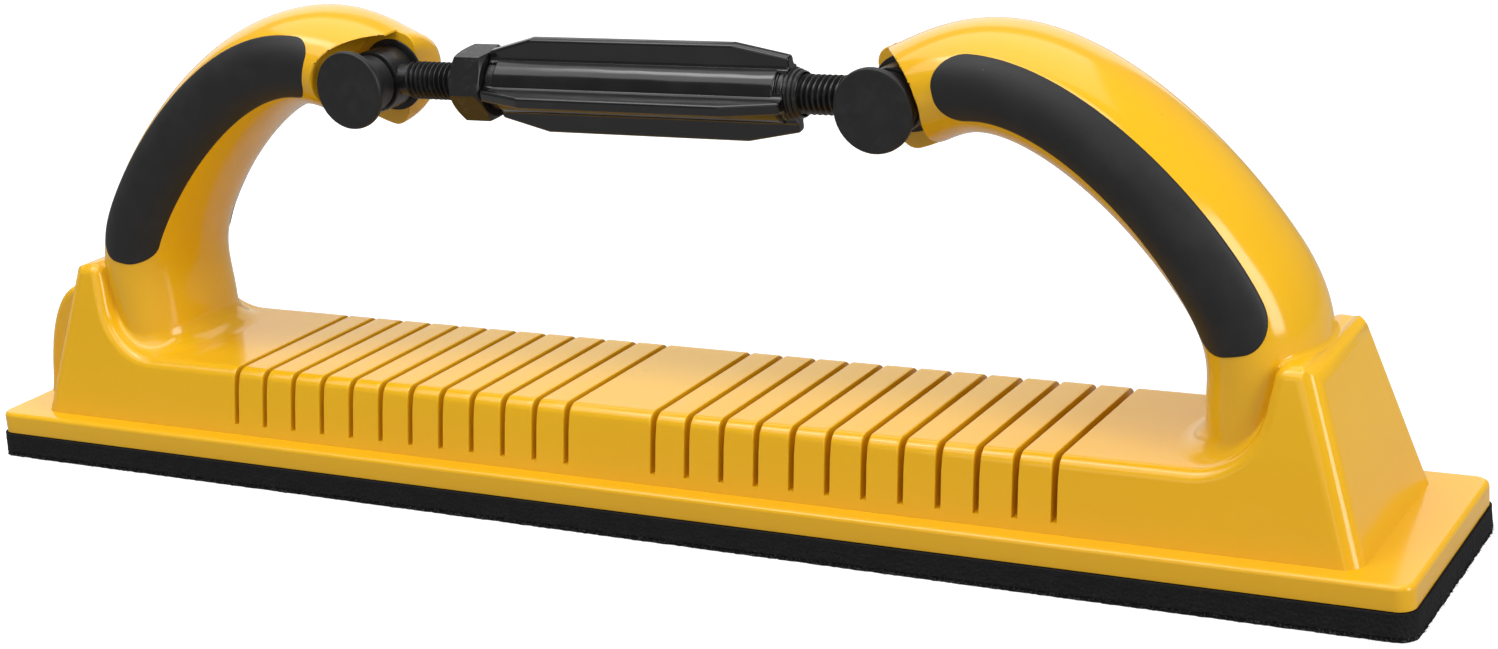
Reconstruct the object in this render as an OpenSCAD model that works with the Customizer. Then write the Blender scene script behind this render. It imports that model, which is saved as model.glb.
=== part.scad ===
// Flexible sanding block: a long slotted board with two curved handles
// and a turnbuckle between the handle tips that bends the board.
// X runs along the board, Y runs from front to back, Z is up.
// The origin is at the bottom centre of the hook sheet. Millimetres.

/* [Pad] */
// How far the pad reaches past the plate at each end
pad_over = 0.5; // [0:0.1:3]
// How far the pad reaches past the plate at each side
pad_over_side = 0.8; // [0:0.1:3]
// Corner radius of the pad
pad_r = 4.5; // [1:0.5:15]
// Thickness of the hook sheet at the bottom
hook_t = 1.2; // [0.5:0.1:3]
// Thickness of the foam
foam_t = 5.1; // [2:0.1:15]
// Thickness of the adhesive tape on top of the foam
tape_t = 0.3; // [0.1:0.1:1]

/* [Board] */
// Length of the flat plate
plate_len = 400; // [200:1:600]
// Width of the flat plate
plate_w = 68.4; // [40:0.1:120]
// Thickness of the flat plate
plate_t = 5.7; // [3:0.1:12]
// Corner radius of the flat plate
plate_r = 4; // [1:0.5:15]
// Rounding of the plate's top edge
plate_edge = 1.2; // [0.2:0.1:3]
// Half width of the deck where it meets the plate
deck_half = 29.05; // [15:0.05:50]
// Height of the deck above the plate
deck_h = 17.5; // [8:0.5:40]
// Lean of the deck's long sides
deck_draft = 11.1; // [0:0.1:20]
// Rounding of the deck's top edges
deck_round = 3; // [0.5:0.1:6]
// Number of slots in each half of the deck
slot_count = 12; // [0:1:20]
// Distance from the middle to the first slot
slot_first = 12.67; // [5:0.01:40]
// Distance between slots
slot_pitch = 9.615; // [5:0.005:20]
// Width of each slot
slot_w = 1.6; // [0.6:0.1:4]
// Height of the slot floor above the plate
slot_floor = 2.6; // [0.5:0.1:10]
// Softened edge along each slot
slot_edge = 0.5; // [0.1:0.1:1.5]

/* [End blocks] */
// Flat plate left free beyond each end wall
end_flange = 12.5; // [4:0.5:40]
// Height of the end blocks above the plate
block_h = 41.6; // [20:0.1:80]
// Lean of the end walls
block_lean = 16.6; // [0:0.1:30]
// Half width of the end blocks at the plate
block_half = 29.1; // [15:0.05:50]
// Radius of the leaning corners
block_r = 4; // [1:0.5:10]
// Rounding along the top of the end blocks
block_round = 3; // [0.5:0.1:6]
// Where the scooped shoulder meets the deck, from the end wall
scoop_in = 32.3; // [10:0.1:60]
// Slope of the scooped shoulder
scoop_angle = 61.7; // [30:0.1:85]
// Radius between shoulder and deck
scoop_r = 10; // [2:0.5:30]
// Half width of the boss on the left end wall
boss_half = 14; // [5:0.5:25]
// Height of the boss above the plate
boss_h = 32; // [10:0.5:60]
// Where the top of the boss starts, from the end of the plate
boss_top_in = 14.9; // [5:0.1:25]
// Where the bulge of the boss reaches, from the end of the plate
boss_bulge_in = 4; // [0:0.1:10]
// Where the foot of the boss ends, from the end of the plate
boss_foot_in = 0.7; // [0:0.1:5]
// How deep the root of the boss reaches into the end block
boss_root = 17.5; // [10:0.5:25]

/* [Handles] */
// Curve of the handle, start: distance in from the end wall, height
bend_0 = [26, 39.4]; // [0:0.1:200]
// Curve of the handle, second control point
bend_1 = [24.1, 43.7]; // [0:0.1:200]
// Curve of the handle, third control point
bend_2 = [6.8, 58.7]; // [0:0.1:200]
// Curve of the handle, fourth control point
bend_3 = [89.4, 146.9]; // [0:0.1:200]
// Curve of the handle, fifth control point
bend_4 = [94.2, 105.7]; // [0:0.1:200]
// Curve of the handle, end
bend_5 = [118.5, 103.8]; // [0:0.1:200]
// Half thickness along the curve, four steering values
handle_a = [16.5, 10.8, 13, 12.5]; // [5:0.1:30]
// Half width along the curve, four steering values
handle_b = [21, 20, 21, 17.1]; // [5:0.1:30]
// Squareness of the handle section, 2 is an ellipse
handle_square = 2.15; // [2:0.05:4]
// Distance from the end wall to the middle of the foot
foot_in = 28; // [15:0.1:60]
// Half thickness of the foot
foot_a = 12.5; // [5:0.1:30]
// Half width of the foot
foot_b = 20.1; // [5:0.1:30]
// How deep the foot reaches into its socket
foot_depth = 14.4; // [5:0.1:20]
// Radius where the foot flares onto the deck
foot_flare = 7; // [2:0.5:15]
// Height above the deck where the foot starts to lean
foot_top = 11; // [8:0.5:20]
// Rounding at the tip of the handle
tip_round = 4; // [1:0.5:8]
// Depth of the recesses under the grips
grip_t = 2.4; // [1:0.1:5]
// Height of the grips above the handle
grip_proud = 0.2; // [0:0.1:1]
// Gap all round each grip
grip_gap = 0.15; // [0.05:0.05:1]
// Where the grips start along the curve
grip_from = 0.262; // [0.25:0.001:0.4]
// Where the grips end along the curve
grip_to = 0.812; // [0.6:0.001:0.85]
// Corner radius at the lower end of the grips
grip_round_low = 7.5; // [3:0.5:9]
// Corner radius at the upper end of the left grips
grip_round_left = 5.5; // [3:0.5:9]
// Corner radius at the upper end of the right grips
grip_round_right = 7.5; // [3:0.5:9]
// Reach of the grips toward the outside of the bend
grip_out = 8.3; // [3:0.1:12]
// Reach of the left grips toward the inside of the bend
grip_in_left = [9.6, 9.3, 9.3, 7.6]; // [3:0.1:12]
// Reach of the right grips toward the inside of the bend
grip_in_right = [11.2, 5.4, 4.2, 8.4]; // [3:0.1:12]

/* [Pivots] */
// Distance from the end wall to each pivot pin
pin_in = 113.1; // [60:0.1:160]
// Height of the pivot pins
pin_z = 105.8; // [60:0.1:160]
// Diameter of the pivot pins
pin_d = 6; // [3:0.5:10]
// Gap between each pin and the eye that turns on it
pin_gap = 0.08; // [0.02:0.01:0.3]
// Diameter of the pin caps
cap_d = 20.2; // [10:0.1:30]
// Thickness of the pin caps
cap_t = 2; // [1:0.1:5]
// Front face of the pin caps, in front of the middle
cap_front = 18.2; // [10:0.1:30]
// Diameter of the neck behind each cap
neck_d = 14.4; // [8:0.1:20]
// Diameter of the eyes
eye_d = 16; // [10:0.1:24]
// Width of the eyes
eye_w = 8.4; // [4:0.1:16]
// Distance of the rod line in front of the middle
rod_y = 3.7; // [-10:0.1:10]
// Diameter of the thrust washers
washer_d = 18.8; // [10:0.1:30]
// Thickness of the thrust washers
washer_t = 0.5; // [0.3:0.1:2]
// Gap between an eye and the pieces beside it
eye_gap = 0.35; // [0.1:0.05:1]
// Radius of the pocket cut into each handle tip
pocket_r = 11.7; // [8:0.1:15]
// How far the roof of the pocket reaches past the pin
pocket_roof = 2.4; // [0:0.1:8]
// Distance from the pin to the pocket's wall at its lower end
pocket_low = 8.6; // [4:0.1:11]

/* [Turnbuckle] */
// Outer diameter of the threaded rods
rod_d = 9.7; // [6:0.1:14]
// Where the rods end inside the sleeve, from the middle
rod_end = 9; // [6:0.5:25]
// Gap between the rods and the sleeve and nut around them
thread_gap = 0.35; // [0.1:0.05:1]
// Distance from the left pin to the turnbuckle grip
grip_left_in = 36.7; // [25:0.1:60]
// Distance from the right pin to the turnbuckle grip
grip_right_in = 27; // [12:0.1:60]
// Distance from the right pin to the shoulder of the sleeve
sleeve_right_in = 27.6; // [12:0.1:60]
// Outer diameter of the threaded sleeve
sleeve_d = 13.2; // [11:0.1:20]
// Length of the sleeve's cone-shaped nose
nose_len = 3.2; // [0.5:0.1:8]
// Diameter at the end of the nose
nose_d = 11; // [10.6:0.1:20]
// Outer diameter of the grip's hub
hub_d = 14.4; // [12:0.1:24]
// How far the hub stops short of the wings at each end
hub_step = 2.5; // [0.2:0.1:5]
// Softened edge at both ends of the hub
hub_edge = 0.4; // [0.1:0.1:1]
// Number of wings on the grip
wing_count = 4; // [2:1:8]
// Thickness of each wing
wing_t = 3; // [1:0.1:6]
// Radius to the tip of the wings
wing_r = 12.5; // [8:0.1:20]
// Radius of the wings at the left end
wing_r_left = 9; // [8:0.1:20]
// Radius of the wings at the right end
wing_r_right = 9.6; // [8:0.1:20]
// Length of the slope at the left end of the wings
wing_slope_left = 13.1; // [2:0.1:30]
// Length of the slope at the right end of the wings
wing_slope_right = 14.6; // [2:0.1:30]
// Radius where the wings run into the hub
wing_root = 1.1; // [0.2:0.1:3]
// Turn of the wings away from level
wing_turn = 10; // [0:1:45]
// Distance across the flats of the lock nut
nut_af = 17; // [12:0.5:24]
// Thickness of the lock nut
nut_t = 9.2; // [3:0.1:15]
// Gap between lock nut and grip
nut_gap = 0.3; // [0.1:0.1:2]

/* [Hidden] */

pad_len = plate_len + 2 * pad_over;
pad_w = plate_w + 2 * pad_over_side;
block_x = plate_len / 2 - end_flange;
scoop_x = block_x - scoop_in;
foot_x = block_x - foot_in;
pin_x = block_x - pin_in;
boss_top_x = plate_len / 2 - boss_top_in;
boss_bulge_x = plate_len / 2 - boss_bulge_in;
boss_foot_x = plate_len / 2 - boss_foot_in;
boss_root_x = block_x - boss_root;
board_z = hook_t + foam_t + tape_t;
plate_z = board_z + plate_t;
deck_z = plate_z + deck_h;
block_z = plate_z + block_h;
slot_z = plate_z + slot_floor;
joint_gap = 0.3;
bend = [for (p = [bend_0, bend_1, bend_2, bend_3, bend_4, bend_5])
    [block_x - p[0], p[1]]];
segs = 36;
t_foot = 0.25;
t_tip = 0.965;
t_step = 0.0325;
core_from = 0.21;
core_to = 0.871;
core_step = 0.04;
neck_back = -rod_y - eye_w / 2 + 0.3 - eye_gap;
eye_front = neck_back + eye_gap;
eye_back = eye_front + eye_w;
washer_front = eye_back + joint_gap;
lug_front = washer_front + washer_t;
pin_front = -cap_front + cap_t + 2;
pin_back = 13;
grip_left = pin_x - grip_left_in;
grip_right = pin_x - grip_right_in;
sleeve_right = pin_x - sleeve_right_in;
sleeve_bore = rod_d + 2 * thread_gap;
hub_left = grip_left - hub_step;
hub_right = grip_right - hub_step;
yellow = [0.88, 0.66, 0.16];
black = [0.12, 0.12, 0.13];
steel = [0.16, 0.16, 0.17];

// Point on a smooth curve steered by the values in p
function curve(p, t) = len(p) == 1 ? p[0]
    : curve([for (i = [0:len(p) - 2]) p[i] * (1 - t) + p[i + 1] * t], t);
// Direction of that curve
function heading(p, t) =
    let (q = [for (i = [0:len(p) - 2]) p[i + 1] - p[i]])
    curve(q, t) / norm(curve(q, t));
// Speed along the curve, in millimetres for each unit of t
function speed(p, t) =
    (len(p) - 1) * norm(curve([for (i = [0:len(p) - 2]) p[i + 1] - p[i]], t));
// Signed power used by the rounded handle section
function spow(v, e) = sign(v) * pow(abs(v), e);
// Points of one handle section: middle c, outward direction n
function ring(c, n, a, b) = [for (j = [0:segs - 1])
    let (u = a * spow(cos(360 * j / segs), 2 / handle_square),
         v = b * spow(sin(360 * j / segs), 2 / handle_square))
    [c[0] + n[0] * u, v, c[1] + n[1] * u]];
// Section of the handle at t, grown by g
function handle_ring(t, g) =
    let (c = curve(bend, t), h = heading(bend, t))
    ring(c, [h[1], -h[0]], curve(handle_a, t) + g, curve(handle_b, t) + g);
// Section of the foot at height z, flared by f, grown by g
function foot_ring(z, f, g) =
    ring([foot_x - f / 2, z], [1, 0], foot_a + f / 2 + g,
         foot_b + min(f, 2.1) + g);
// Section q of the way from the foot to the curve, grown by g
function neck_ring(q, g) =
    let (h = heading(bend, t_foot), c = curve(bend, t_foot),
         m = [1 - q, 0] + q * [h[1], -h[0]],
         e = [foot_x, deck_z + foot_top] * (1 - q) + c * q)
    ring(e, m / norm(m),
         foot_a * (1 - q) + curve(handle_a, t_foot) * q + g,
         foot_b * (1 - q) + curve(handle_b, t_foot) * q + g);
// Flare of the foot at a height h above the deck
function flare(h) = h >= foot_flare ? 0
    : foot_flare - sqrt(foot_flare * foot_flare - pow(foot_flare - h, 2));
// Rounded end of the tip: q is an angle from 0 to 90
function tip_ring(q, g) =
    let (c = curve(bend, t_tip), h = heading(bend, t_tip),
         r = tip_round * (1 - cos(q)))
    ring(c + h * tip_round * sin(q), [h[1], -h[0]],
         curve(handle_a, t_tip) - r + g, curve(handle_b, t_tip) - r + g);
// Half reach of a grip toward the inside of the bend
function inner_reach(k, t) = curve(k, (t - grip_from) / (grip_to - grip_from));
// Point in the side view: t along the handle, n across it
function side_point(t, n) =
    let (c = curve(bend, t), h = heading(bend, t))
    [c[0] + h[1] * n, c[1] - h[0] * n];

// Skin through a list of sections, closed at both ends
module skin(rings) {
    n = len(rings[0]);
    m = len(rings);
    pts = [for (r = rings) each r];
    sides = [for (i = [0:m - 2], j = [0:n - 1]) each [
        [i * n + j, (i + 1) * n + j, (i + 1) * n + (j + 1) % n],
        [i * n + j, (i + 1) * n + (j + 1) % n, i * n + (j + 1) % n]]];
    low = [[for (j = [0:n - 1]) j]];
    high = [[for (j = [n - 1:-1:0]) (m - 1) * n + j]];
    polyhedron(points = pts, faces = concat(sides, low, high));
}

// Full outer shape of the right handle
module handle_skin() {
    skin(concat(
        [foot_ring(deck_z + joint_gap - foot_depth, 0, -0.6),
         foot_ring(deck_z + joint_gap, 0, -0.6)],
        [for (h = [0.15, 0.5, 1, 2, 3.5, 5, 7])
            foot_ring(deck_z + joint_gap + h, flare(h), 0)],
        [for (q = [0, 0.25, 0.5, 0.75]) neck_ring(q, 0)],
        [for (t = [t_foot:t_step:t_tip + 0.001]) handle_ring(t, 0)],
        [for (q = [30, 60, 90]) tip_ring(q, 0)]));
}

// Space the foot of the right handle needs in the board
module foot_space() {
    skin(concat(
        [foot_ring(deck_z - foot_depth, 0, -0.6 + joint_gap),
         foot_ring(deck_z, 0, -0.6 + joint_gap)],
        [for (h = [0.15, 0.5, 1, 2, 3.5, 5, 7])
            foot_ring(deck_z + joint_gap + h, flare(h), joint_gap)],
        [for (q = [0, 0.25, 0.5, 0.75]) neck_ring(q, joint_gap)],
        [for (k = [0:2]) handle_ring(t_foot + k * t_step, joint_gap)]));
}

// Core of the right handle under its grips
module handle_core(depth) {
    skin([for (t = [core_from:core_step:core_to]) handle_ring(t, -depth)]);
}

// Outline of a grip in the side view, grown by g
module grip_outline(k, r_top, g) {
    w1 = grip_round_low / speed(bend, grip_from);
    w2 = r_top / speed(bend, grip_to);
    e1 = g / speed(bend, grip_from);
    e2 = g / speed(bend, grip_to);
    out = grip_out + g;
    in_low = -inner_reach(k, grip_from) - g;
    in_top = -inner_reach(k, grip_to) - g;
    run = [for (i = [0:10])
        grip_from + w1 + (grip_to - w2 - grip_from - w1) * i / 10];
    polygon(concat(
        [for (t = run) side_point(t, out)],
        [for (q = [15:15:90]) side_point(grip_to + e2 - w2 * (1 - sin(q)),
                                         out - r_top * (1 - cos(q)))],
        [for (q = [90:-15:15]) side_point(grip_to + e2 - w2 * (1 - sin(q)),
                                          in_top + r_top * (1 - cos(q)))],
        [for (i = [10:-1:0]) side_point(run[i], -inner_reach(k, run[i]) - g)],
        [for (q = [15:15:90]) side_point(grip_from - e1 + w1 * (1 - sin(q)),
                                         in_low + grip_round_low * (1 - cos(q)))],
        [for (q = [90:-15:15]) side_point(grip_from - e1 + w1 * (1 - sin(q)),
                                          out - grip_round_low * (1 - cos(q)))]));
}

// Outline of a grip run through the handle, front half or rear half
module grip_block(k, r_top, g, front) {
    translate([0, front ? -2 : 30, 0])
        rotate([90, 0, 0])
            linear_extrude(28)
                grip_outline(k, r_top, g);
}

// Right-hand handle with its grip recesses, pocket and pin bore
module handle_body(k, r_top) {
    difference() {
        union() {
            difference() {
                handle_skin();
                grip_block(k, r_top, 0, true);
                grip_block(k, r_top, 0, false);
            }
            handle_core(grip_t);
        }
        tip_pocket();
        pin_bore();
    }
}

// Pocket cut into the front half of the tip
module tip_pocket() {
    reach = 2 * pocket_r;
    translate([pin_x, lug_front, pin_z])
        rotate([90, 0, 0])
            linear_extrude(2 * reach)
                union() {
                    circle(r = pocket_r, $fn = 64);
                    polygon([[pocket_r, 0], [pocket_low, -reach], [-reach, -reach],
                             [-reach, reach], [-pocket_roof, reach], [-pocket_roof, 0]]);
                }
}

// Blind bore for the pivot pin
module pin_bore() {
    translate([pin_x, pin_back + 0.2, pin_z])
        rotate([90, 0, 0])
            cylinder(d = pin_d, h = 30, $fn = 48);
}

// Right-hand grip
module grip_insert(k, r_top, front) {
    difference() {
        intersection() {
            skin([for (t = [t_foot - t_step:t_step:0.9]) handle_ring(t, grip_proud)]);
            grip_block(k, r_top, -grip_gap, front);
        }
        skin([for (t = [core_from - core_step:core_step:core_to + core_step])
            handle_ring(t, 0.05 - grip_t)]);
    }
}

// Flat piece with rounded corners
module rounded_plate(l, w, t, r) {
    linear_extrude(t)
        rounded_flat(l, w, r);
}

// Rounded rectangle
module rounded_flat(l, w, r) {
    square([l - 2 * r, w], center = true);
    square([l, w - 2 * r], center = true);
    for (x = [-1, 1], y = [-1, 1])
        translate([x * (l / 2 - r), y * (w / 2 - r)])
            circle(r = r, $fn = 48);
}

// Section with rounded upper corners, standing on the X axis
module soft_section(l, t, r) {
    polygon(concat([[-l / 2, 0], [l / 2, 0]],
        [for (q = [0:15:90]) [l / 2 - r * (1 - cos(q)), t - r * (1 - sin(q))]],
        [for (q = [90:-15:0]) [-l / 2 + r * (1 - cos(q)), t - r * (1 - sin(q))]]));
}

// Flat plate with a soft top edge
module plate() {
    translate([0, 0, board_z])
        intersection() {
            rounded_plate(plate_len, plate_w, plate_t, plate_r);
            rotate([90, 0, 0])
                linear_extrude(plate_w + 10, center = true)
                    soft_section(plate_len, plate_t, plate_edge);
            rotate([90, 0, 90])
                linear_extrude(plate_len + 10, center = true)
                    soft_section(plate_w, plate_t, plate_edge);
        }
}

// Section of the deck, leaning sides and rounded top edges
module deck_section() {
    top = deck_half - deck_h * tan(deck_draft);
    side = [for (q = [deck_draft:13.15:90.1])
        [top - deck_round * (1 - cos(q)) + 0.2,
         deck_z - deck_round * (1 - sin(q))]];
    foot = [for (q = [0:22.5:90])
        [deck_half + 1 - sin(q), plate_z + 1 - cos(q)]];
    right = concat([[deck_half + 1, plate_z - 1]], foot, side);
    polygon(concat(right, [for (i = [len(right) - 1:-1:0])
        [-right[i][0], right[i][1]]]));
}

// Deck between the end blocks
module deck() {
    rotate([90, 0, 90])
        linear_extrude(2 * (block_x - 14), center = true)
            deck_section();
}

// One slot across the deck
module slot() {
    h = deck_z - slot_z;
    translate([0, 0, slot_z])
        rotate([90, 0, 0])
            linear_extrude(plate_w, center = true)
                polygon([[-slot_w / 2, 0], [slot_w / 2, 0],
                         [slot_w / 2, h - slot_edge],
                         [slot_w / 2 + slot_edge, h + 0.1],
                         [-slot_w / 2 - slot_edge, h + 0.1],
                         [-slot_w / 2, h - slot_edge]]);
}

// Level slice of the right end block, r is its corner radius
module block_slice(z, inset, r) {
    half = block_half - (z - plate_z) * tan(deck_draft) - inset;
    far = block_x - (z - plate_z) * tan(block_lean) - inset;
    near = scoop_x - scoop_r - 5.2;
    translate([0, 0, z - 0.01])
        linear_extrude(0.01)
            union() {
                translate([near, -half])
                    square([far - near - r, 2 * half]);
                for (y = [-1, 1])
                    translate([far - r, y * (half - r)])
                        circle(r = r, $fn = 32);
            }
}

// Side view of the right end block
module block_side() {
    tangent = scoop_r * tan(scoop_angle / 2);
    rise = block_z + 2 - deck_z;
    polygon(concat(
        [[scoop_x - tangent - 4, plate_z - 1], [block_x + 5, plate_z - 1],
         [block_x + 5, block_z + 2], [scoop_x + rise / tan(scoop_angle), block_z + 2]],
        [for (q = [scoop_angle:-scoop_angle / 6:0.1])
            [scoop_x - tangent + scoop_r * sin(q),
             deck_z + scoop_r * (1 - cos(q))]],
        [[scoop_x - tangent - 4, deck_z - 0.02]]));
}

// Right end block
module end_block() {
    intersection() {
        hull() {
            block_slice(plate_z - 0.5, 0, block_r);
            block_slice(block_z - block_round, 0, block_r);
            block_slice(block_z - block_round * 0.5, block_round * 0.13, block_r);
            block_slice(block_z - block_round * 0.13, block_round * 0.5, block_r);
            block_slice(block_z, block_round, block_r);
        }
        rotate([90, 0, 0])
            linear_extrude(2 * block_half + 20, center = true)
                block_side();
    }
}

// Boss on the left end wall
module boss() {
    p = [[-boss_top_x, boss_h], [-boss_bulge_x, boss_h - 5], [-boss_foot_x, 0]];
    translate([0, 0, plate_z])
        rotate([90, 0, 0])
            linear_extrude(2 * boss_half, center = true)
                polygon(concat([for (t = [0:0.1:1.001]) curve(p, t)],
                    [[-boss_foot_x, -0.5], [-boss_root_x, -0.5],
                     [-boss_root_x, boss_h]]));
}

// Board moulding: plate, slotted deck, end blocks, boss and foot sockets
module base_board() {
    color(yellow)
        difference() {
            union() {
                plate();
                deck();
                end_block();
                mirror([1, 0, 0])
                    end_block();
                boss();
            }
            for (s = [-1, 1], k = [0:slot_count - 1])
                translate([s * (slot_first + k * slot_pitch), 0, 0])
                    slot();
            foot_space();
            mirror([1, 0, 0])
                foot_space();
        }
}

// Left handle
module left_handle() {
    color(yellow)
        mirror([1, 0, 0])
            handle_body(grip_in_left, grip_round_left);
}

// Right handle
module right_handle() {
    color(yellow)
        handle_body(grip_in_right, grip_round_right);
}

// Grip on the front of the left handle
module left_front_grip() {
    color(black)
        mirror([1, 0, 0])
            grip_insert(grip_in_left, grip_round_left, true);
}

// Grip on the back of the left handle
module left_rear_grip() {
    color(black)
        mirror([1, 0, 0])
            grip_insert(grip_in_left, grip_round_left, false);
}

// Grip on the front of the right handle
module right_front_grip() {
    color(black)
        grip_insert(grip_in_right, grip_round_right, true);
}

// Grip on the back of the right handle
module right_rear_grip() {
    color(black)
        grip_insert(grip_in_right, grip_round_right, false);
}

// Foam pad
module foam_pad() {
    color(black)
        translate([0, 0, hook_t])
            rounded_plate(pad_len, pad_w, foam_t, pad_r);
}

// Double-sided tape between foam and board
module adhesive_tape() {
    color(black)
        translate([0, 0, hook_t + foam_t])
            rounded_plate(plate_len - 1, plate_w - 1, tape_t, plate_r);
}

// Hook sheet that holds the abrasive
module hook_sheet() {
    color(black)
        rounded_plate(pad_len, pad_w, hook_t, pad_r);
}

// Pivot pin through an eye, fixed in the handle tip
module pivot_pin(side) {
    color(steel)
        translate([side * pin_x, pin_back, pin_z])
            rotate([90, 0, 0])
                cylinder(d = pin_d, h = pin_back - pin_front, $fn = 48);
}

// Left pivot pin
module left_pivot_pin() {
    pivot_pin(-1);
}

// Right pivot pin
module right_pivot_pin() {
    pivot_pin(1);
}

// Cap and neck that close the pin at the front
module pin_cap(side) {
    len = neck_back + cap_front;
    color(black)
        translate([side * pin_x, -cap_front, pin_z])
            rotate([-90, 0, 0])
                rotate_extrude($fn = 64)
                    polygon([[0, 0], [cap_d / 2 - 0.5, 0], [cap_d / 2, 0.5],
                             [cap_d / 2, cap_t - 0.3], [cap_d / 2 - 0.3, cap_t],
                             [neck_d / 2, cap_t], [neck_d / 2, len],
                             [pin_d / 2, len],
                             [pin_d / 2, cap_front + pin_front],
                             [0, cap_front + pin_front]]);
}

// Left pin cap
module left_pin_cap() {
    pin_cap(-1);
}

// Right pin cap
module right_pin_cap() {
    pin_cap(1);
}

// Washer between an eye and the handle tip
module washer(side) {
    color(black)
        translate([side * pin_x, washer_front, pin_z])
            rotate([-90, 0, 0])
                difference() {
                    cylinder(d = washer_d, h = washer_t, $fn = 64);
                    translate([0, 0, -1])
                        cylinder(d = pin_d, h = washer_t + 2, $fn = 48);
                }
}

// Left washer
module left_washer() {
    washer(-1);
}

// Right washer
module right_washer() {
    washer(1);
}

// Right-hand eye with its threaded rod, drawn with the axis along X
module eye_rod() {
    color(steel)
        difference() {
            union() {
                translate([pin_x, eye_front, pin_z])
                    rotate([-90, 0, 0])
                        cylinder(d = eye_d, h = eye_w, $fn = 64);
                translate([rod_end, -rod_y, pin_z])
                    rotate([0, 90, 0])
                        cylinder(d = rod_d - 1.6, h = pin_x - rod_end - 4, $fn = 48);
                translate([rod_end, -rod_y, pin_z])
                    rotate([0, 90, 0])
                        cylinder(d = rod_d, h = pin_x - rod_end - washer_d / 2 - 0.6,
                                 $fn = 48);
            }
            translate([pin_x, eye_back + 1, pin_z])
                rotate([90, 0, 0])
                    cylinder(d = pin_d + 2 * pin_gap, h = eye_w + 2, $fn = 48);
        }
}

// Left eye and rod
module left_eye_rod() {
    mirror([1, 0, 0])
        eye_rod();
}

// Right eye and rod
module right_eye_rod() {
    eye_rod();
}

// Threaded sleeve at the heart of the turnbuckle
module turnbuckle_sleeve() {
    bore = sleeve_bore / 2;
    end = sleeve_right + nose_len;
    color(steel)
        translate([0, -rod_y, pin_z])
            rotate([0, 90, 0])
                rotate_extrude($fn = 64)
                    polygon([[bore, -grip_left], [sleeve_d / 2, -grip_left],
                             [sleeve_d / 2, sleeve_right], [nose_d / 2, end],
                             [bore, end]]);
}

// Section across a wing, with soft tip corners and a rounded root
module wing_section() {
    low = hub_d / 2 - 0.5;
    right = concat([[wing_t / 2 + wing_root, 0]],
        [for (q = [0:30:90]) [wing_t / 2 + wing_root * (1 - sin(q)),
                              low + wing_root * (1 - cos(q))]],
        [for (q = [0:22.5:90]) [wing_t / 2 - 0.9 * (1 - cos(q)),
                                wing_r - 0.9 * (1 - sin(q))]]);
    polygon(concat(right, [for (i = [len(right) - 1:-1:0])
        [-right[i][0], right[i][1]]]));
}

// One wing of the grip, standing along +Z of its own axis
module wing() {
    inner = sleeve_d / 2 + 0.2;
    intersection() {
        rotate([90, 0, 0])
            linear_extrude(2 * wing_t + 4 * wing_root, center = true)
                polygon([[-grip_left, inner], [grip_right, inner],
                         [grip_right, wing_r_right],
                         [grip_right - wing_slope_right, wing_r],
                         [-grip_left + wing_slope_left, wing_r],
                         [-grip_left, wing_r_left]]);
        rotate([90, 0, 90])
            linear_extrude(2 * pin_x, center = true)
                wing_section();
    }
}

// Winged grip moulded over the sleeve
module turnbuckle_grip() {
    inner = sleeve_d / 2;
    outer = hub_d / 2;
    color(black)
        translate([0, -rod_y, pin_z]) {
            rotate([0, 90, 0])
                rotate_extrude($fn = 64)
                    polygon([[inner, -hub_left], [outer - hub_edge, -hub_left],
                             [outer, -hub_left + hub_edge],
                             [outer, hub_right - hub_edge],
                             [outer - hub_edge, hub_right], [inner, hub_right]]);
            for (k = [0:wing_count - 1])
                rotate([90 + wing_turn + 360 * k / wing_count, 0, 0])
                    wing();
        }
}

// Lock nut on the left rod
module lock_nut() {
    r = nut_af / 2 / cos(30);
    color(steel)
        translate([-grip_left - nut_gap - nut_t, -rod_y, pin_z])
            rotate([0, 90, 0])
                difference() {
                    intersection() {
                        rotate([0, 0, 8])
                            cylinder(r = r, h = nut_t, $fn = 6);
                        rotate_extrude($fn = 64)
                            polygon([[0, 0], [nut_af / 2, 0], [r + 0.05, 0.8],
                                     [r + 0.05, nut_t - 0.8], [nut_af / 2, nut_t],
                                     [0, nut_t]]);
                    }
                    translate([0, 0, -1])
                        cylinder(d = sleeve_bore, h = nut_t + 2, $fn = 48);
                }
}

base_board();
left_handle();
right_handle();
left_front_grip();
left_rear_grip();
right_front_grip();
right_rear_grip();
foam_pad();
adhesive_tape();
hook_sheet();
left_pivot_pin();
right_pivot_pin();
left_pin_cap();
right_pin_cap();
left_washer();
right_washer();
left_eye_rod();
right_eye_rod();
turnbuckle_grip();
turnbuckle_sleeve();
lock_nut();
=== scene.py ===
"""Studio scene for a long flexible sanding block with a turnbuckle handle.

Shapes are drawn in millimetres, in the frame's own axes, and become metres
when a piece is finished: +X runs along the board, +Y to the back, +Z up.
"""

import logging
import math
import random
from collections.abc import Callable, Iterable, Sequence
from dataclasses import dataclass
from enum import Enum

import bmesh
import bpy
from bmesh.types import BMEdge, BMesh, BMVert
from bpy.types import ID, Material, NodeSocket, Object
from mathutils import Matrix, Vector, noise
from mathutils.bvhtree import BVHTree


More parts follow.
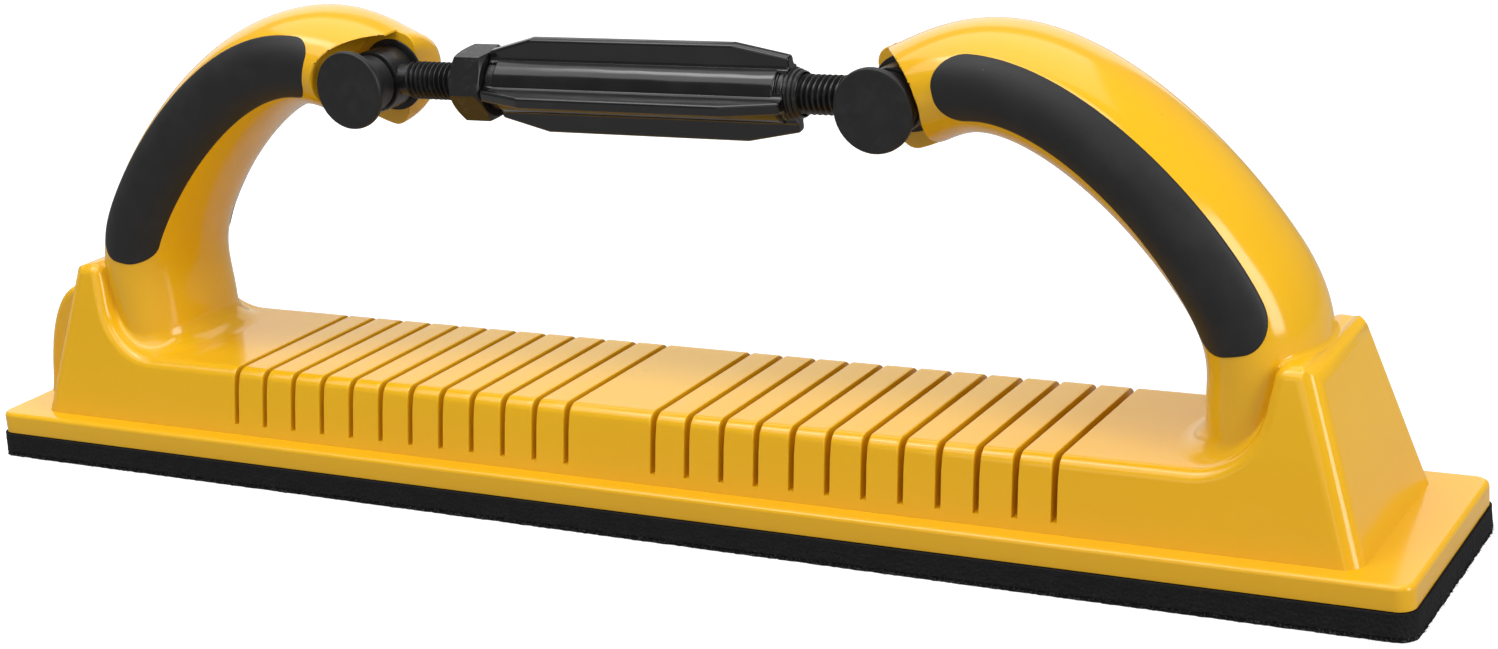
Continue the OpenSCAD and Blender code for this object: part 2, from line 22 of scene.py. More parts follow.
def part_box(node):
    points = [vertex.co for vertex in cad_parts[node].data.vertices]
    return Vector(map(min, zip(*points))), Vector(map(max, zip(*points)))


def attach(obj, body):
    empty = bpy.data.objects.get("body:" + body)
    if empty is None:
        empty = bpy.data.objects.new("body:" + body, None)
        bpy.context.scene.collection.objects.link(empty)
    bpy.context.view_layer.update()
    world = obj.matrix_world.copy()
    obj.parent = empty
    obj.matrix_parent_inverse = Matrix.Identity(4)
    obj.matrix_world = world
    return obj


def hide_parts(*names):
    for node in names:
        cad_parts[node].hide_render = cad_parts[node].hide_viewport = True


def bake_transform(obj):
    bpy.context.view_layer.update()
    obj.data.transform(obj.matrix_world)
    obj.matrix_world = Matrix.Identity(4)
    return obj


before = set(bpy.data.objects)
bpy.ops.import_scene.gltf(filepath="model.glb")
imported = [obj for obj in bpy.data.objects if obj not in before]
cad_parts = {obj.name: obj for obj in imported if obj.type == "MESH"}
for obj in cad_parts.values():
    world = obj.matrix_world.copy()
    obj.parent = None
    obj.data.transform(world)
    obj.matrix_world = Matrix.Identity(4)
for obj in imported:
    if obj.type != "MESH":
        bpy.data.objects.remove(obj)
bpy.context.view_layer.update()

LOG = logging.getLogger("sanding_block")
MM = 0.001
NEAR = 1e-4
SMOOTH_ANGLE = math.radians(32.0)
DECK = 29.8
PLATE_THICK = 5.7
BEND_END = 119.0
LONGER = 1.2
ALONG = Vector((1.0, 0.0, 0.0)).freeze()
BACK = Vector((0.0, 1.0, 0.0)).freeze()

Outline = Sequence[tuple[float, float]]


class Side(Enum):
    """The two ends of the tool."""

    LEFT = -1
    RIGHT = 1

    @property
    def word(self) -> str:
        """The side's name in nodes and bodies."""
        return self.name.lower()


class Face(Enum):
    """The two long faces of a handle."""

    FRONT = -1
    REAR = 1


class Cut(Enum):
    """How a tool solid changes another solid."""

    UNION = "UNION"
    DIFFERENCE = "DIFFERENCE"
    INTERSECT = "INTERSECT"


# ---------------------------------------------------------------- shader maths


class Wire:
    """A shader output that takes part in Python arithmetic."""

    def __init__(self, shader: "Shader", socket: NodeSocket) -> None:
        """Keep the socket and the shader that it belongs to."""
        self.shader = shader
        self.socket = socket

    def _maths(self, operation: str, *values: "Wire | float") -> "Wire":
        """Add a Math node.

        Args:
            operation: what it does with its values.
            *values: wires or numbers.

        Returns:
            Its result.
        """
        return self.shader.node(
            "ShaderNodeMath", {"operation": operation}, dict(enumerate(values))
        )

    def __add__(self, other: "Wire | float") -> "Wire":
        """Sum of two values."""
        return self._maths("ADD", self, other)

    def __mul__(self, other: "Wire | float") -> "Wire":
        """Product of two values."""
        return self._maths("MULTIPLY", self, other)

    def __rsub__(self, other: float) -> "Wire":
        """Difference with a number on the left."""
        return self._maths("SUBTRACT", other, self)

    __radd__ = __add__
    __rmul__ = __mul__

    def over(self, low: float, high: float) -> "Wire":
        """Make a soft mask of the value.

        Args:
            low: value that gives 0, as do all under it.
            high: value that gives 1, as do all over it.

        Returns:
            The mask.
        """
        return self.shader.node(
            "ShaderNodeMapRange",
            {"interpolation_type": "SMOOTHSTEP"},
            {"Value": self, "From Min": low, "From Max": high},
        )


class Shader:
    """Node tree of a material or of the surroundings."""

    def __init__(self, owner: ID) -> None:
        """Open the tree of a new material or world."""
        owner.use_nodes = True
        self.tree = owner.node_tree

    def node(
        self,
        kind: str,
        settings: dict | None = None,
        inputs: dict | None = None,
        output: int | str = 0,
    ) -> Wire:
        """Add a node.

        Args:
            kind: Blender's name of the node type.
            settings: properties that are set first.
            inputs: values or links of its sockets, by name or place.
            output: the output that is wanted.

        Returns:
            The chosen output.
        """
        made = self.tree.nodes.new(kind)
        for key, value in (settings or {}).items():
            setattr(made, key, value)
        for key, value in (inputs or {}).items():
            self.feed(made.inputs[key], value)
        return Wire(self, made.outputs[output])

    def feed(self, socket: NodeSocket, value: object) -> None:
        """Link a wire to a socket, or set the socket to a plain value.

        Args:
            socket: the input that is fed.
            value: a wire, or what the socket holds by itself.
        """
        if isinstance(value, Wire):
            self.tree.links.new(value.socket, socket)
        else:
            socket.default_value = value

    def set(self, **values: object) -> None:
        """Feed the Principled surface.

        Args:
            **values: what its sockets get; underscores stand for the spaces in their names.
        """
        surface = self.tree.nodes["Principled BSDF"]
        for key, value in values.items():
            self.feed(surface.inputs[key.replace("_", " ")], value)

    def show(self, wire: Wire) -> None:
        """Let the tree end in this shader."""
        self.feed(self.tree.get_output_node("ALL").inputs["Surface"], wire)

    def for_camera(self, others: Wire, camera: Wire) -> Wire:
        """Join two shaders: one lights the object, the camera sees the other.

        Args:
            others: shader that every other ray meets.
            camera: shader that the camera's own rays meet.

        Returns:
            The joined shader.
        """
        seen = self.node("ShaderNodeLightPath", output="Is Camera Ray")
        return self.node("ShaderNodeMixShader", inputs={0: seen, 1: others, 2: camera})

    def place(self) -> Wire:
        """Object coordinates, in metres."""
        return self.node("ShaderNodeTexCoord", output="Object")

    def noise(
        self, per_metre: float, detail: float = 3.0, stretch: tuple = (1.0, 1.0, 1.0)
    ) -> Wire:
        """Smooth random pattern.

        Args:
            per_metre: how many waves fit in a metre.
            detail: how many finer layers are added.
            stretch: factors on the three axes.

        Returns:
            A value from 0 to 1.
        """
        moved = self.node(
            "ShaderNodeMapping", inputs={"Vector": self.place(), "Scale": stretch}
        )
        return self.node(
            "ShaderNodeTexNoise",
            inputs={"Vector": moved, "Scale": per_metre, "Detail": detail},
        )

    def cells(self, per_metre: float) -> Wire:
        """Distance to the nearest of many scattered points, as in foam.

        Args:
            per_metre: how many cells fit in a metre.

        Returns:
            The distance, about 1 at most.
        """
        return self.node(
            "ShaderNodeTexVoronoi",
            inputs={"Vector": self.place(), "Scale": per_metre},
        )

    def mix(self, share: Wire, first: "Wire | tuple", second: tuple) -> Wire:
        """Colour between two colours.

        Args:
            share: 0 for the first colour, 1 for the second.
            first: a plain or a varying colour.
            second: a plain colour.

        Returns:
            The mixed colour.
        """
        start = first if isinstance(first, Wire) else (*first, 1.0)
        return self.node(
            "ShaderNodeMix",
            {"data_type": "RGBA"},
            {0: share, 6: start, 7: (*second, 1.0)},
            output=2,
        )

    def bump(self, height: Wire, depth_mm: float, strength: float = 1.0) -> Wire:
        """Normal of a surface with some relief.

        Args:
            height: pattern of the relief, from 0 to 1.
            depth_mm: how deep it is.
            strength: how much of it shows.

        Returns:
            The normal.
        """
        return self.node(
            "ShaderNodeBump",
            inputs={"Height": height, "Distance": depth_mm * MM, "Strength": strength},
            output="Normal",
        )


# -------------------------------------------------------------------- finishes


@dataclass(frozen=True)
class Coat:
    """A material and the slot that it fills."""

    material: Material
    slot: str

    def dress(self, piece: Object) -> None:
        """Make this the one material of a piece.

        Args:
            piece: a new piece, or a node that is kept.
        """
        piece.data.materials.clear()
        piece.data.materials.append(self.material)


@dataclass(frozen=True)
class Finish:
    """What a surface is made of."""

    slot: str
    name: str

    def paint(self, shader: Shader) -> dict:
        """Patterns of the finish.

        Args:
            shader: the material's tree, which takes the patterns.

        Returns:
            What each socket of the surface gets.
        """
        raise NotImplementedError

    def build(self) -> Coat:
        """Make the finish's material.

        Returns:
            The material with its slot.
        """
        material = bpy.data.materials.new(self.name)
        shader = Shader(material)
        shader.set(**self.paint(shader))
        return Coat(material, self.slot)


@dataclass(frozen=True)
class GlossyShell(Finish):
    """Moulded yellow plastic with a soft gloss."""

    slot: str = "yellow_shell"
    name: str = "shell_yellow"
    colour: tuple = (0.80, 0.44, 0.010)
    deep: tuple = (0.77, 0.41, 0.009)
    dirt: tuple = (0.22, 0.11, 0.02)
    gloss: float = 0.12

    def paint(self, shader: Shader) -> dict:
        """Shell material: faint flow marks, a few specks of dirt, a wavy gloss.

        Args:
            shader: the material's tree.

        Returns:
            What each socket gets.
        """
        flow = shader.noise(18.0, 2.0, (0.4, 1.0, 1.0))
        rub = shader.noise(160.0, 3.0, (1.0, 0.2, 1.0)).over(0.60, 0.75)
        wave = shader.noise(45.0, 1.0)
        grain = shader.noise(1500.0, 1.0)
        speck = 1.0 - shader.cells(75.0).over(0.012, 0.024)
        plain = shader.mix(flow.over(0.3, 0.7), self.colour, self.deep)
        return dict(
            Base_Color=shader.mix(speck * 0.8, plain, self.dirt),
            Roughness=self.gloss + 0.05 * flow + 0.10 * rub + 0.4 * speck,
            Normal=shader.bump(wave + grain * 0.004, 0.16),
            IOR=1.48,
        )


@dataclass(frozen=True)
class SoftGrip(Finish):
    """Overmoulded black rubber."""

    slot: str = "soft_grip"
    name: str = "grip_rubber"
    colour: tuple = (0.011, 0.011, 0.012)
    worn: tuple = (0.017, 0.017, 0.018)

    def paint(self, shader: Shader) -> dict:
        """Rubber material: matt, finely pebbled, a little dusty.

        Args:
            shader: the material's tree.

        Returns:
            What each socket gets.
        """
        dust = shader.noise(120.0, 4.0).over(0.40, 0.80)
        lint = 1.0 - shader.cells(130.0).over(0.015, 0.03)
        pebble = shader.cells(1900.0)
        return dict(
            Base_Color=shader.mix(
                lint * 0.35, shader.mix(dust, self.colour, self.worn), (0.35, 0.33, 0.30)
            ),
            Roughness=0.50 + 0.10 * dust,
            Normal=shader.bump(pebble, 0.02, 0.5),
            Specular_IOR_Level=0.32,
        )


@dataclass(frozen=True)
class BlackMoulding(Finish):
    """Black plastic of the pin caps."""

    slot: str = "black_plastic"
    name: str = "moulding_black"
    colour: tuple = (0.010, 0.010, 0.011)
    pale: tuple = (0.016, 0.016, 0.017)
    gloss: float = 0.40

    def paint(self, shader: Shader) -> dict:
        """Hard black plastic with a fine spark-eroded grain.

        Args:
            shader: the material's tree.

        Returns:
            What each socket gets.
        """
        cloud = shader.noise(300.0, 4.0)
        grain = shader.noise(2600.0, 2.0)
        return dict(
            Base_Color=shader.mix(cloud.over(0.4, 0.75), self.colour, self.pale),
            Roughness=self.gloss + 0.12 * cloud,
            Normal=shader.bump(grain, 0.03, 0.6),
            Specular_IOR_Level=0.35,
        )


@dataclass(frozen=True)
class GlossBlack(Finish):
    """Polished black plastic of the turnbuckle grip."""

    slot: str = "black_plastic"
    name: str = "gloss_black"
    colour: tuple = (0.005, 0.005, 0.006)
    pale: tuple = (0.009, 0.009, 0.010)
    gloss: float = 0.10

    def paint(self, shader: Shader) -> dict:
        """Shiny black plastic with slow waves and handling marks.

        Args:
            shader: the material's tree.

        Returns:
            What each socket gets.
        """
        cloud = shader.noise(120.0, 4.0)
        wave = shader.noise(110.0, 2.0, (0.35, 1.0, 1.0))
        hair = shader.noise(700.0, 2.0, (0.05, 1.0, 1.0)).over(0.62, 0.72)
        return dict(
            Base_Color=shader.mix(cloud.over(0.4, 0.75), self.colour, self.pale),
            Roughness=self.gloss + 0.08 * cloud + 0.10 * hair,
            Normal=shader.bump(wave, 0.22),
        )


@dataclass(frozen=True)
class BlackOxide(Finish):
    """Blackened steel of rods, nut and pins."""

    slot: str = "black_steel"
    name: str = "steel_black"
    colour: tuple = (0.012, 0.012, 0.013)
    rubbed: tuple = (0.050, 0.048, 0.047)

    def paint(self, shader: Shader) -> dict:
        """Blackened steel, rubbed brighter in patches.

        Args:
            shader: the material's tree.

        Returns:
            What each socket gets.
        """
        rub = shader.noise(420.0, 4.0).over(0.52, 0.72)
        grain = shader.noise(2600.0, 2.0)
        return dict(
            Base_Color=shader.mix(rub, self.colour, self.rubbed),
            Metallic=0.35 + 0.3 * rub,
            Roughness=0.33 - 0.06 * rub,
            Normal=shader.bump(grain, 0.025, 0.6),
        )


@dataclass(frozen=True)
class CellFoam(Finish):
    """Dense black foam with cut cells."""

    slot: str = "foam"
    name: str = "foam_black"
    colour: tuple = (0.006, 0.006, 0.007)
    open: tuple = (0.013, 0.013, 0.014)

    def paint(self, shader: Shader) -> dict:
        """Foam material: tiny open cells, no gloss.

        Args:
            shader: the material's tree.

        Returns:
            What each socket gets.
        """
        cell = shader.cells(1100.0)
        fine = shader.noise(2400.0, 3.0)
        patch = shader.noise(240.0, 4.0)
        return dict(
            Base_Color=shader.mix(
                (patch * 0.25 + fine * 0.75).over(0.40, 0.66), self.colour, self.open
            ),
            Roughness=0.80 + 0.1 * patch,
            Normal=shader.bump(cell + fine * 0.5, 0.22, 0.9),
            Specular_IOR_Level=0.2,
        )


@dataclass(frozen=True)
class HookPile(Finish):
    """Short black pile of the hook sheet."""

    slot: str = "hook"
    name: str = "hook_black"
    colour: tuple = (0.005, 0.005, 0.006)
    tip: tuple = (0.050, 0.050, 0.052)

    def paint(self, shader: Shader) -> dict:
        """Pile material: dull, with paler fibre tips.

        Args:
            shader: the material's tree.

        Returns:
            What each socket gets.
        """
        tuft = shader.noise(1800.0, 3.0)
        return dict(
            Base_Color=shader.mix(tuft.over(0.48, 0.66), self.colour, self.tip),
            Roughness=0.9,
            Normal=shader.bump(tuft, 0.3),
            Specular_IOR_Level=0.2,
        )


# ---------------------------------------------------------------- mesh helpers


def bezier(points: Sequence, t: float) -> object:
    """Point on the Bezier curve of some control values.

    Args:
        points: numbers or vectors.
        t: place along the curve, from 0 to 1.

    Returns:
        A number or a vector.
    """
    row = list(points)
    while len(row) > 1:
        row = [a * (1.0 - t) + b * t for a, b in zip(row, row[1:])]
    return row[0]


def steps_of(points: Sequence) -> list:
    """Differences between neighbours."""
    return [b - a for a, b in zip(points, points[1:])]


def quarter(u: float, v: float, du: float, dv: float, steps: int) -> list[tuple[float, float]]:
    """Rounding of a corner in an outline.

    Args:
        u: first coordinate of the sharp corner.
        v: second coordinate of the sharp corner.
        du: signed distance from the corner to where the rounding starts, along the first axis.
        dv: signed distance to where it ends, along the second axis.
        steps: number of chords.

    Returns:
        Points from (u + du, v) to (u, v + dv).
    """
    turns = [math.radians(90.0) * k / steps for k in range(steps + 1)]
    return [(u + du * (1 - math.sin(a)), v + dv * (1 - math.cos(a))) for a in turns]


def spow(value: float, exponent: float) -> float:
    """Power that keeps the sign."""
    return math.copysign(abs(value) ** exponent, value)


def node_box(node: str) -> tuple[Vector, Vector]:
    """Lowest and highest corner of a CAD node, in millimetres."""
    low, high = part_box(node)
    return low / MM, high / MM


def place(name: str, data: ID) -> Object:
    """Put some data in the scene.

    Args:
        name: name of the object and of its data.
        data: a mesh, a lamp or a camera.

    Returns:
        The object that holds it.
    """
    data.name = name
    made = bpy.data.objects.new(name, data)
    bpy.context.scene.collection.objects.link(made)
    return made


def draft(bm: BMesh, name: str) -> Object:
    """Turn a bmesh into an object that is still in millimetres.

    Args:
        bm: the shape, which is used up.
        name: name of the object.

    Returns:
        The object, its faces pointing outward.
    """
    bmesh.ops.recalc_face_normals(bm, faces=bm.faces)
    mesh = bpy.data.meshes.new(name)
    bm.to_mesh(mesh)
    bm.free()
    return place(name, mesh)


def settle(piece: Object) -> None:
    """Bake a piece's modifiers into its mesh.

    Args:
        piece: the piece, which loses its modifiers.
    """
    bpy.context.view_layer.update()
    seen = piece.evaluated_get(bpy.context.evaluated_depsgraph_get())
    mesh = bpy.data.meshes.new_from_object(seen)
    piece.modifiers.clear()
    old = piece.data
    piece.data = mesh
    bpy.data.meshes.remove(old)
    mesh.name = piece.name


def carve(body: Object, tool: Object, how: Cut) -> None:
    """Change one solid by another.

    Args:
        body: the solid that changes.
        tool: the other solid, which is used up.
        how: what happens where they meet.
    """
    modifier = body.modifiers.new(how.value.lower(), "BOOLEAN")
    modifier.operation = how.value
    modifier.object = tool
    modifier.solver = "EXACT"
    settle(body)
    spent = tool.data
    bpy.data.objects.remove(tool)
    bpy.data.meshes.remove(spent)


def reshape(piece: Object, change: Callable[[BMesh], None]) -> None:
    """Run a bmesh change on a piece's mesh.

    Args:
        piece: the piece that changes.
        change: function that works on its bmesh.
    """
    bm = bmesh.new()
    bm.from_mesh(piece.data)
    change(bm)
    bm.to_mesh(piece.data)
    bm.free()


def mirror(piece: Object) -> None:
    """Swap a piece to the other end of the tool, its faces still outward."""
    piece.data.transform(Matrix.Scale(-1.0, 4, ALONG))
    piece.data.flip_normals()


def polish(piece: Object, weighted: bool = True) -> None:
    """Bring a finished shape to metres and give it clean shading.

    Args:
        piece: the shape, in millimetres.
        weighted: whether large faces stay flat beside small roundings.
    """
    piece.data.transform(Matrix.Scale(MM, 4))
    for polygon in piece.data.polygons:
        polygon.use_smooth = True
    piece.data.set_sharp_from_angle(angle=SMOOTH_ANGLE)
    if weighted:
        modifier = piece.modifiers.new("normals", "WEIGHTED_NORMAL")
        modifier.keep_sharp = True
        modifier.weight = 80
        settle(piece)


def mount(piece: Object, coat: Coat, body: str, node: str, weighted: bool = True) -> None:
    """Finish a rigid piece, fix it to its body and hide the node that it replaces.

    Args:
        piece: the shape, in millimetres.
        coat: its finish.
        body: the body that it rides on.
        node: the node that it replaces.
        weighted: whether large faces stay flat beside small roundings.
    """
    polish(piece, weighted)
    coat.dress(piece)
    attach(piece, body)
    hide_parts(node)


def lathe(profile: Outline, axis: Vector, steps: int, at: Vector, name: str) -> Object:
    """Turn a profile into a solid of revolution.

    Args:
        profile: pairs of radius and height, from one end of the axis to the other.
        axis: unit direction of the axis.
        steps: number of sides.
        at: where the axis starts.
        name: name of the object.

    Returns:
        The closed solid.
    """
    bm = bmesh.new()
    out = axis.orthogonal().normalized()
    verts = [bm.verts.new(out * radius + axis * height) for radius, height in profile]
    edges = [bm.edges.new(pair) for pair in zip(verts, verts[1:])]
    bmesh.ops.spin(
        bm, geom=verts + edges, cent=(0, 0, 0), axis=axis, angle=math.tau,
        steps=steps, use_merge=True,
    )
    bmesh.ops.remove_doubles(bm, verts=bm.verts, dist=NEAR)
    close(bm)
    bmesh.ops.translate(bm, verts=bm.verts, vec=at)
    return draft(bm, name)


def close(bm: BMesh) -> None:
    """Fill every open loop of a mesh."""
    rims = [edge for edge in bm.edges if edge.is_boundary]
    bmesh.ops.holes_fill(bm, edges=rims, sides=0)


def add_box(bm: BMesh, size: tuple, centre: tuple) -> None:
    """Add a box to a mesh.

    Args:
        bm: the mesh.
        size: the box's three sizes.
        centre: its middle.
    """
    made = bmesh.ops.create_cube(bm, size=1.0)["verts"]
    bmesh.ops.scale(bm, verts=made, vec=size)
    bmesh.ops.translate(bm, verts=made, vec=centre)


def slab(outline: Outline, half: Callable[[float], float]) -> BMesh:
    """Solid from a side view.

    Args:
        outline: pairs of X and Z round the side view.
        half: half width at a height.

    Returns:
        The solid, as wide as half says at each height.
    """
    bm = bmesh.new()
    verts = [bm.verts.new((x, -half(z), z)) for x, z in outline]
    face = bm.faces.new(verts)
    grown = bmesh.ops.extrude_face_region(bm, geom=[face])["geom"]
    for vert in grown:
        if isinstance(vert, BMVert):
            vert.co.y = half(vert.co.z)
    bmesh.ops.recalc_face_normals(bm, faces=bm.faces)
    return bm


def long_edges(bm: BMesh) -> set[BMEdge]:
    """Edges of the faces that look to the front or the back."""
    return {edge for face in bm.faces if abs(face.normal.y) > 0.9 for edge in face.edges}


def round_edges(
    bm: BMesh, edges: Iterable[BMEdge], radius: float, segments: int, clamp: bool = True
) -> None:
    """Round chosen edges.

    Args:
        bm: the mesh.
        edges: the edges.
        radius: distance from an edge to where its rounding starts.
        segments: number of strips in a rounding.
        clamp: whether short edges are kept from being overrun.
    """
    bmesh.ops.bevel(
        bm, geom=list(edges), offset=radius, offset_type="OFFSET", segments=segments,
        profile=0.5, affect="EDGES", clamp_overlap=clamp, material=-1,
    )


def loft(rows: Sequence[Sequence[Vector]], name: str) -> Object:
    """Closed skin through rows of points.

    Args:
        rows: closed rings of points, all of one length, from end to end.
        name: name of the object.

    Returns:
        The skin with both ends filled.
    """
    bm = bmesh.new()
    column = bm.verts.layers.int.new("column")
    ring = bmesh.ops.create_circle(bm, segments=len(rows[0]), radius=1.0)["verts"]
    for index, vert in enumerate(ring):
        vert[column] = index
        vert.co = rows[0][index]
    edges = list(bm.edges)
    for row in rows[1:]:
        grown = bmesh.ops.extrude_edge_only(bm, edges=edges)["geom"]
        ring = {item for item in grown if isinstance(item, BMVert)}
        for vert in ring:
            vert.co = row[vert[column]]
        edges = [
            item for item in grown if isinstance(item, BMEdge) and ring.issuperset(item.verts)
        ]
    close(bm)
    return draft(bm, name)


def bisect(bm: BMesh, x: float, normal: int, clear: bool = False) -> None:
    """Cut a mesh across.

    Args:
        bm: the mesh.
        x: where the cut is.
        normal: 1 or -1, the side that the cut faces.
        clear: whether what lies behind the cut is removed.
    """
    bmesh.ops.bisect_plane(
        bm, geom=bm.verts[:] + bm.edges[:] + bm.faces[:], plane_co=(x, 0, 0),
        plane_no=(normal, 0, 0), clear_inner=clear, dist=NEAR,
    )


@dataclass(frozen=True)
class Bend:
    """Stretch of the board, out from the middle, that bends."""

    start: float
    end: float
    steps: int = 16

    def follow(self, piece: Object, side: Side) -> None:
        """Bake the placement of a piece in metres into its mesh; no bend is set up here.

        Args:
            piece: the piece.
            side: the end of the board that the piece belongs to.
        """
        side.value * self.start * MM
        side.value * self.end * MM
        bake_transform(piece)

    def split(self, whole: Object, name: str, coat: Coat, node: str) -> list[Object]:
        """Split a long piece at the middle and keep each half as its own piece.

        Args:
            whole: the piece, in millimetres, which is used up.
            name: name that the halves share.
            coat: their finish.
            node: the node that they replace.

        Returns:
            The left half and the right half, in metres.
        """
        pieces = []
        for side in Side:
            half = place(f"{side.word}_{name}", whole.data.copy())

            def cut(bm: BMesh, sign: int = side.value) -> None:
                """Keep one half and add loops across it, so that it can bend.

                Args:
                    bm: the half's mesh.
                    sign: -1 for the left half, 1 for the right half.
                """
                bisect(bm, 0.0, sign, clear=True)
                close(bm)
                for k in range(self.steps + 1):
                    reach = self.start + (self.end - self.start) * k / self.steps
                    bisect(bm, sign * reach, 1)

            reshape(half, cut)
            polish(half)
            self.follow(half, side)
            coat.dress(half)
            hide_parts(node)
            pieces.append(half)
        bpy.data.objects.remove(whole)
        return pieces


class Ground:
    """Top surface of the board, as felt from above."""

    def __init__(self, board: Object, edge: float, half: Callable[[float], float]) -> None:
        """Read the board's mesh.

        Args:
            board: the board, in millimetres, before its sockets are cut.
            edge: places further out than this feel the height found there.
            half: half width of the board at a height.
        """
        bm = bmesh.new()
        bm.from_mesh(board.data)
        self.tree = BVHTree.FromBMesh(bm)
        bm.free()
        self.edge = edge
        self.half = half

    def height(self, x: float, y: float) -> float:
        """Height of the surface at a place."""
        above = Vector((min(x, self.edge), y, 500.0))
        return self.tree.ray_cast(above, Vector((0, 0, -1)))[0].z


# ---------------------------------------------------------------------- handle


@dataclass(frozen=True)
class Section:
    """Rounded section across a handle; a square of 2 would be an ellipse."""

    centre: Vector
    across: Vector
    thick: float
    wide: float
    square: float = 2.15

    def point(self, turn: float) -> Vector:
        """Point of the section's rim.

        Args:
            turn: angle round the section, from its outer side.

        Returns:
            The point.
        """
        u = self.thick * spow(math.cos(turn), 2.0 / self.square)
        v = self.wide * spow(math.sin(turn), 2.0 / self.square)
        return self.centre + self.across * u + Vector((0.0, v, 0.0))

    def ring(self, sides: int) -> list[Vector]:
        """Points round the section, one for each of its sides."""
        return [self.point(math.tau * k / sides) for k in range(sides)]


@dataclass(frozen=True)
class HandleCurve:
    """Centre line and sections of the right handle."""

    end_wall: float
    deck: float
    steer: tuple = (
        (26.0, 39.4), (24.1, 43.7), (6.8, 58.7), (89.4, 146.9), (94.2, 105.7), (118.5, 103.8),
    )
    thick: tuple = (16.5, 10.8, 13.0, 12.5)
    wide: tuple = (21.0, 20.0, 21.0, 17.1)
    foot_in: float = 28.0
    foot_thick: float = 12.5
    foot_wide: float = 20.1
    foot_top: float = 6.0
    gap: float = 0.3
    bottom: float = 0.115
    leave: float = 0.34
    bow: tuple = (0.30, 0.55)
    swell: tuple = (12.6, 13.9)
    tip: float = 0.965
    tip_round: float = 4.0

    def _points(self) -> list[Vector]:
        """Control points in the frame."""
        return [Vector((self.end_wall - x, 0.0, z)) for x, z in self.steer]

    def centre(self, t: float) -> Vector:
        """Point of the centre line."""
        return bezier(self._points(), t)

    def velocity(self, t: float) -> Vector:
        """Direction of the centre line, as long as its speed."""
        points = self._points()
        return bezier(steps_of(points), t) * (len(points) - 1)

    def speed(self, t: float) -> float:
        """Distance that the sections cover for each unit of t.

        Args:
            t: place along the curve, the neck included.

        Returns:
            The distance, in millimetres.
        """
        step = 0.004
        ahead, behind = self.section(t + step).centre, self.section(t - step).centre
        return (ahead - behind).length / step / 2.0

    def bend(self, t: float, grow: float = 0.0) -> Section:
        """Section of the free curve.

        Args:
            t: place along the curve.
            grow: how far the section is grown outward.

        Returns:
            The section.
        """
        ahead = self.velocity(t).normalized()
        return Section(
            self.centre(t), Vector((ahead.z, 0.0, -ahead.x)),
            bezier(self.thick, t) + grow, bezier(self.wide, t) + grow,
        )

    def section(self, t: float, grow: float = 0.0) -> Section:
        """Section on the neck or on the free curve.

        Args:
            t: place along the curve, the neck included.
            grow: how far the section is grown outward.

        Returns:
            The section.
        """
        if t < self.leave:
            return self.neck((t - self.bottom) / (self.leave - self.bottom), grow)
        return self.bend(t, grow)

    def foot(self, height: float, grow: float = 0.0) -> Section:
        """Section of the foot.

        Args:
            height: height above the deck.
            grow: how far the section is grown outward.

        Returns:
            The section.
        """
        return Section(
            Vector((self.end_wall - self.foot_in, 0.0, self.deck + height)), ALONG,
            self.foot_thick + grow, self.foot_wide + grow,
        )

    def neck(self, share: float, grow: float = 0.0) -> Section:
        """Section between the foot's top and the free curve, without a kink.

        Args:
            share: 0 at the foot's top, 1 where the free curve takes over.
            grow: how far the section is grown outward.

        Returns:
            The section.
        """
        start, end = self.foot(self.foot_top).centre, self.bend(self.leave)
        span = (end.centre - start).length
        ahead = self.velocity(self.leave).normalized()
        steer = [
            start, start + Vector((0, 0, span * self.bow[0])),
            end.centre - ahead * span * self.bow[1], end.centre,
        ]
        along = bezier(steps_of(steer), share).normalized()
        return Section(
            bezier(steer, share), Vector((along.z, 0.0, -along.x)),
            bezier((self.foot_thick, *self.swell, end.thick), share) + grow,
            bezier((self.foot_wide, self.foot_wide, end.wide, end.wide), share) + grow,
        )

    def row(self, u: float, grow: float = 0.0) -> Section:
        """Section anywhere on the handle.

        Args:
            u: below 0 on the foot, to 1 on the neck, to 2 on the bend.
            grow: how far the section is grown outward.

        Returns:
            The section.
        """
        if u < 0.0:
            return self.foot(self.foot_top * (1.0 + u), grow)
        if u < 1.0:
            return self.neck(u, grow)
        return self.bend(self.leave + (self.tip - self.leave) * (u - 1.0), grow)

    def blunt(self, turn: float) -> Section:
        """Section of the rounded tip.

        Args:
            turn: how far round the tip, from 0 to a quarter circle.

        Returns:
            The section.
        """
        end = self.section(self.tip)
        ahead = Vector((-end.across.z, 0.0, end.across.x))
        less = self.tip_round * (1.0 - math.cos(turn))
        return Section(
            end.centre + ahead * self.tip_round * math.sin(turn),
            end.across, end.thick - less, end.wide - less,
        )

    def on_skin(self, t: float, n: float, face: Face, height: float) -> Vector:
        """Point at a height over the handle's skin.

        Args:
            t: place along the centre line.
            n: place across it in the side view.
            face: the long face that is meant.
            height: distance out from the skin.

        Returns:
            The point.
        """
        rim = self.section(t)
        square = rim.square
        share = min(abs(n) / rim.thick, 0.999)
        reach = (1.0 - share**square) ** (1.0 / square)
        slope = Vector((
            spow(n / rim.thick, square - 1.0) / rim.thick,
            reach ** (square - 1.0) / rim.wide,
        )).normalized()
        across = rim.across * (n + height * slope.x)
        depth = rim.wide * reach + height * slope.y
        return rim.centre + across + Vector((0, face.value * depth, 0))


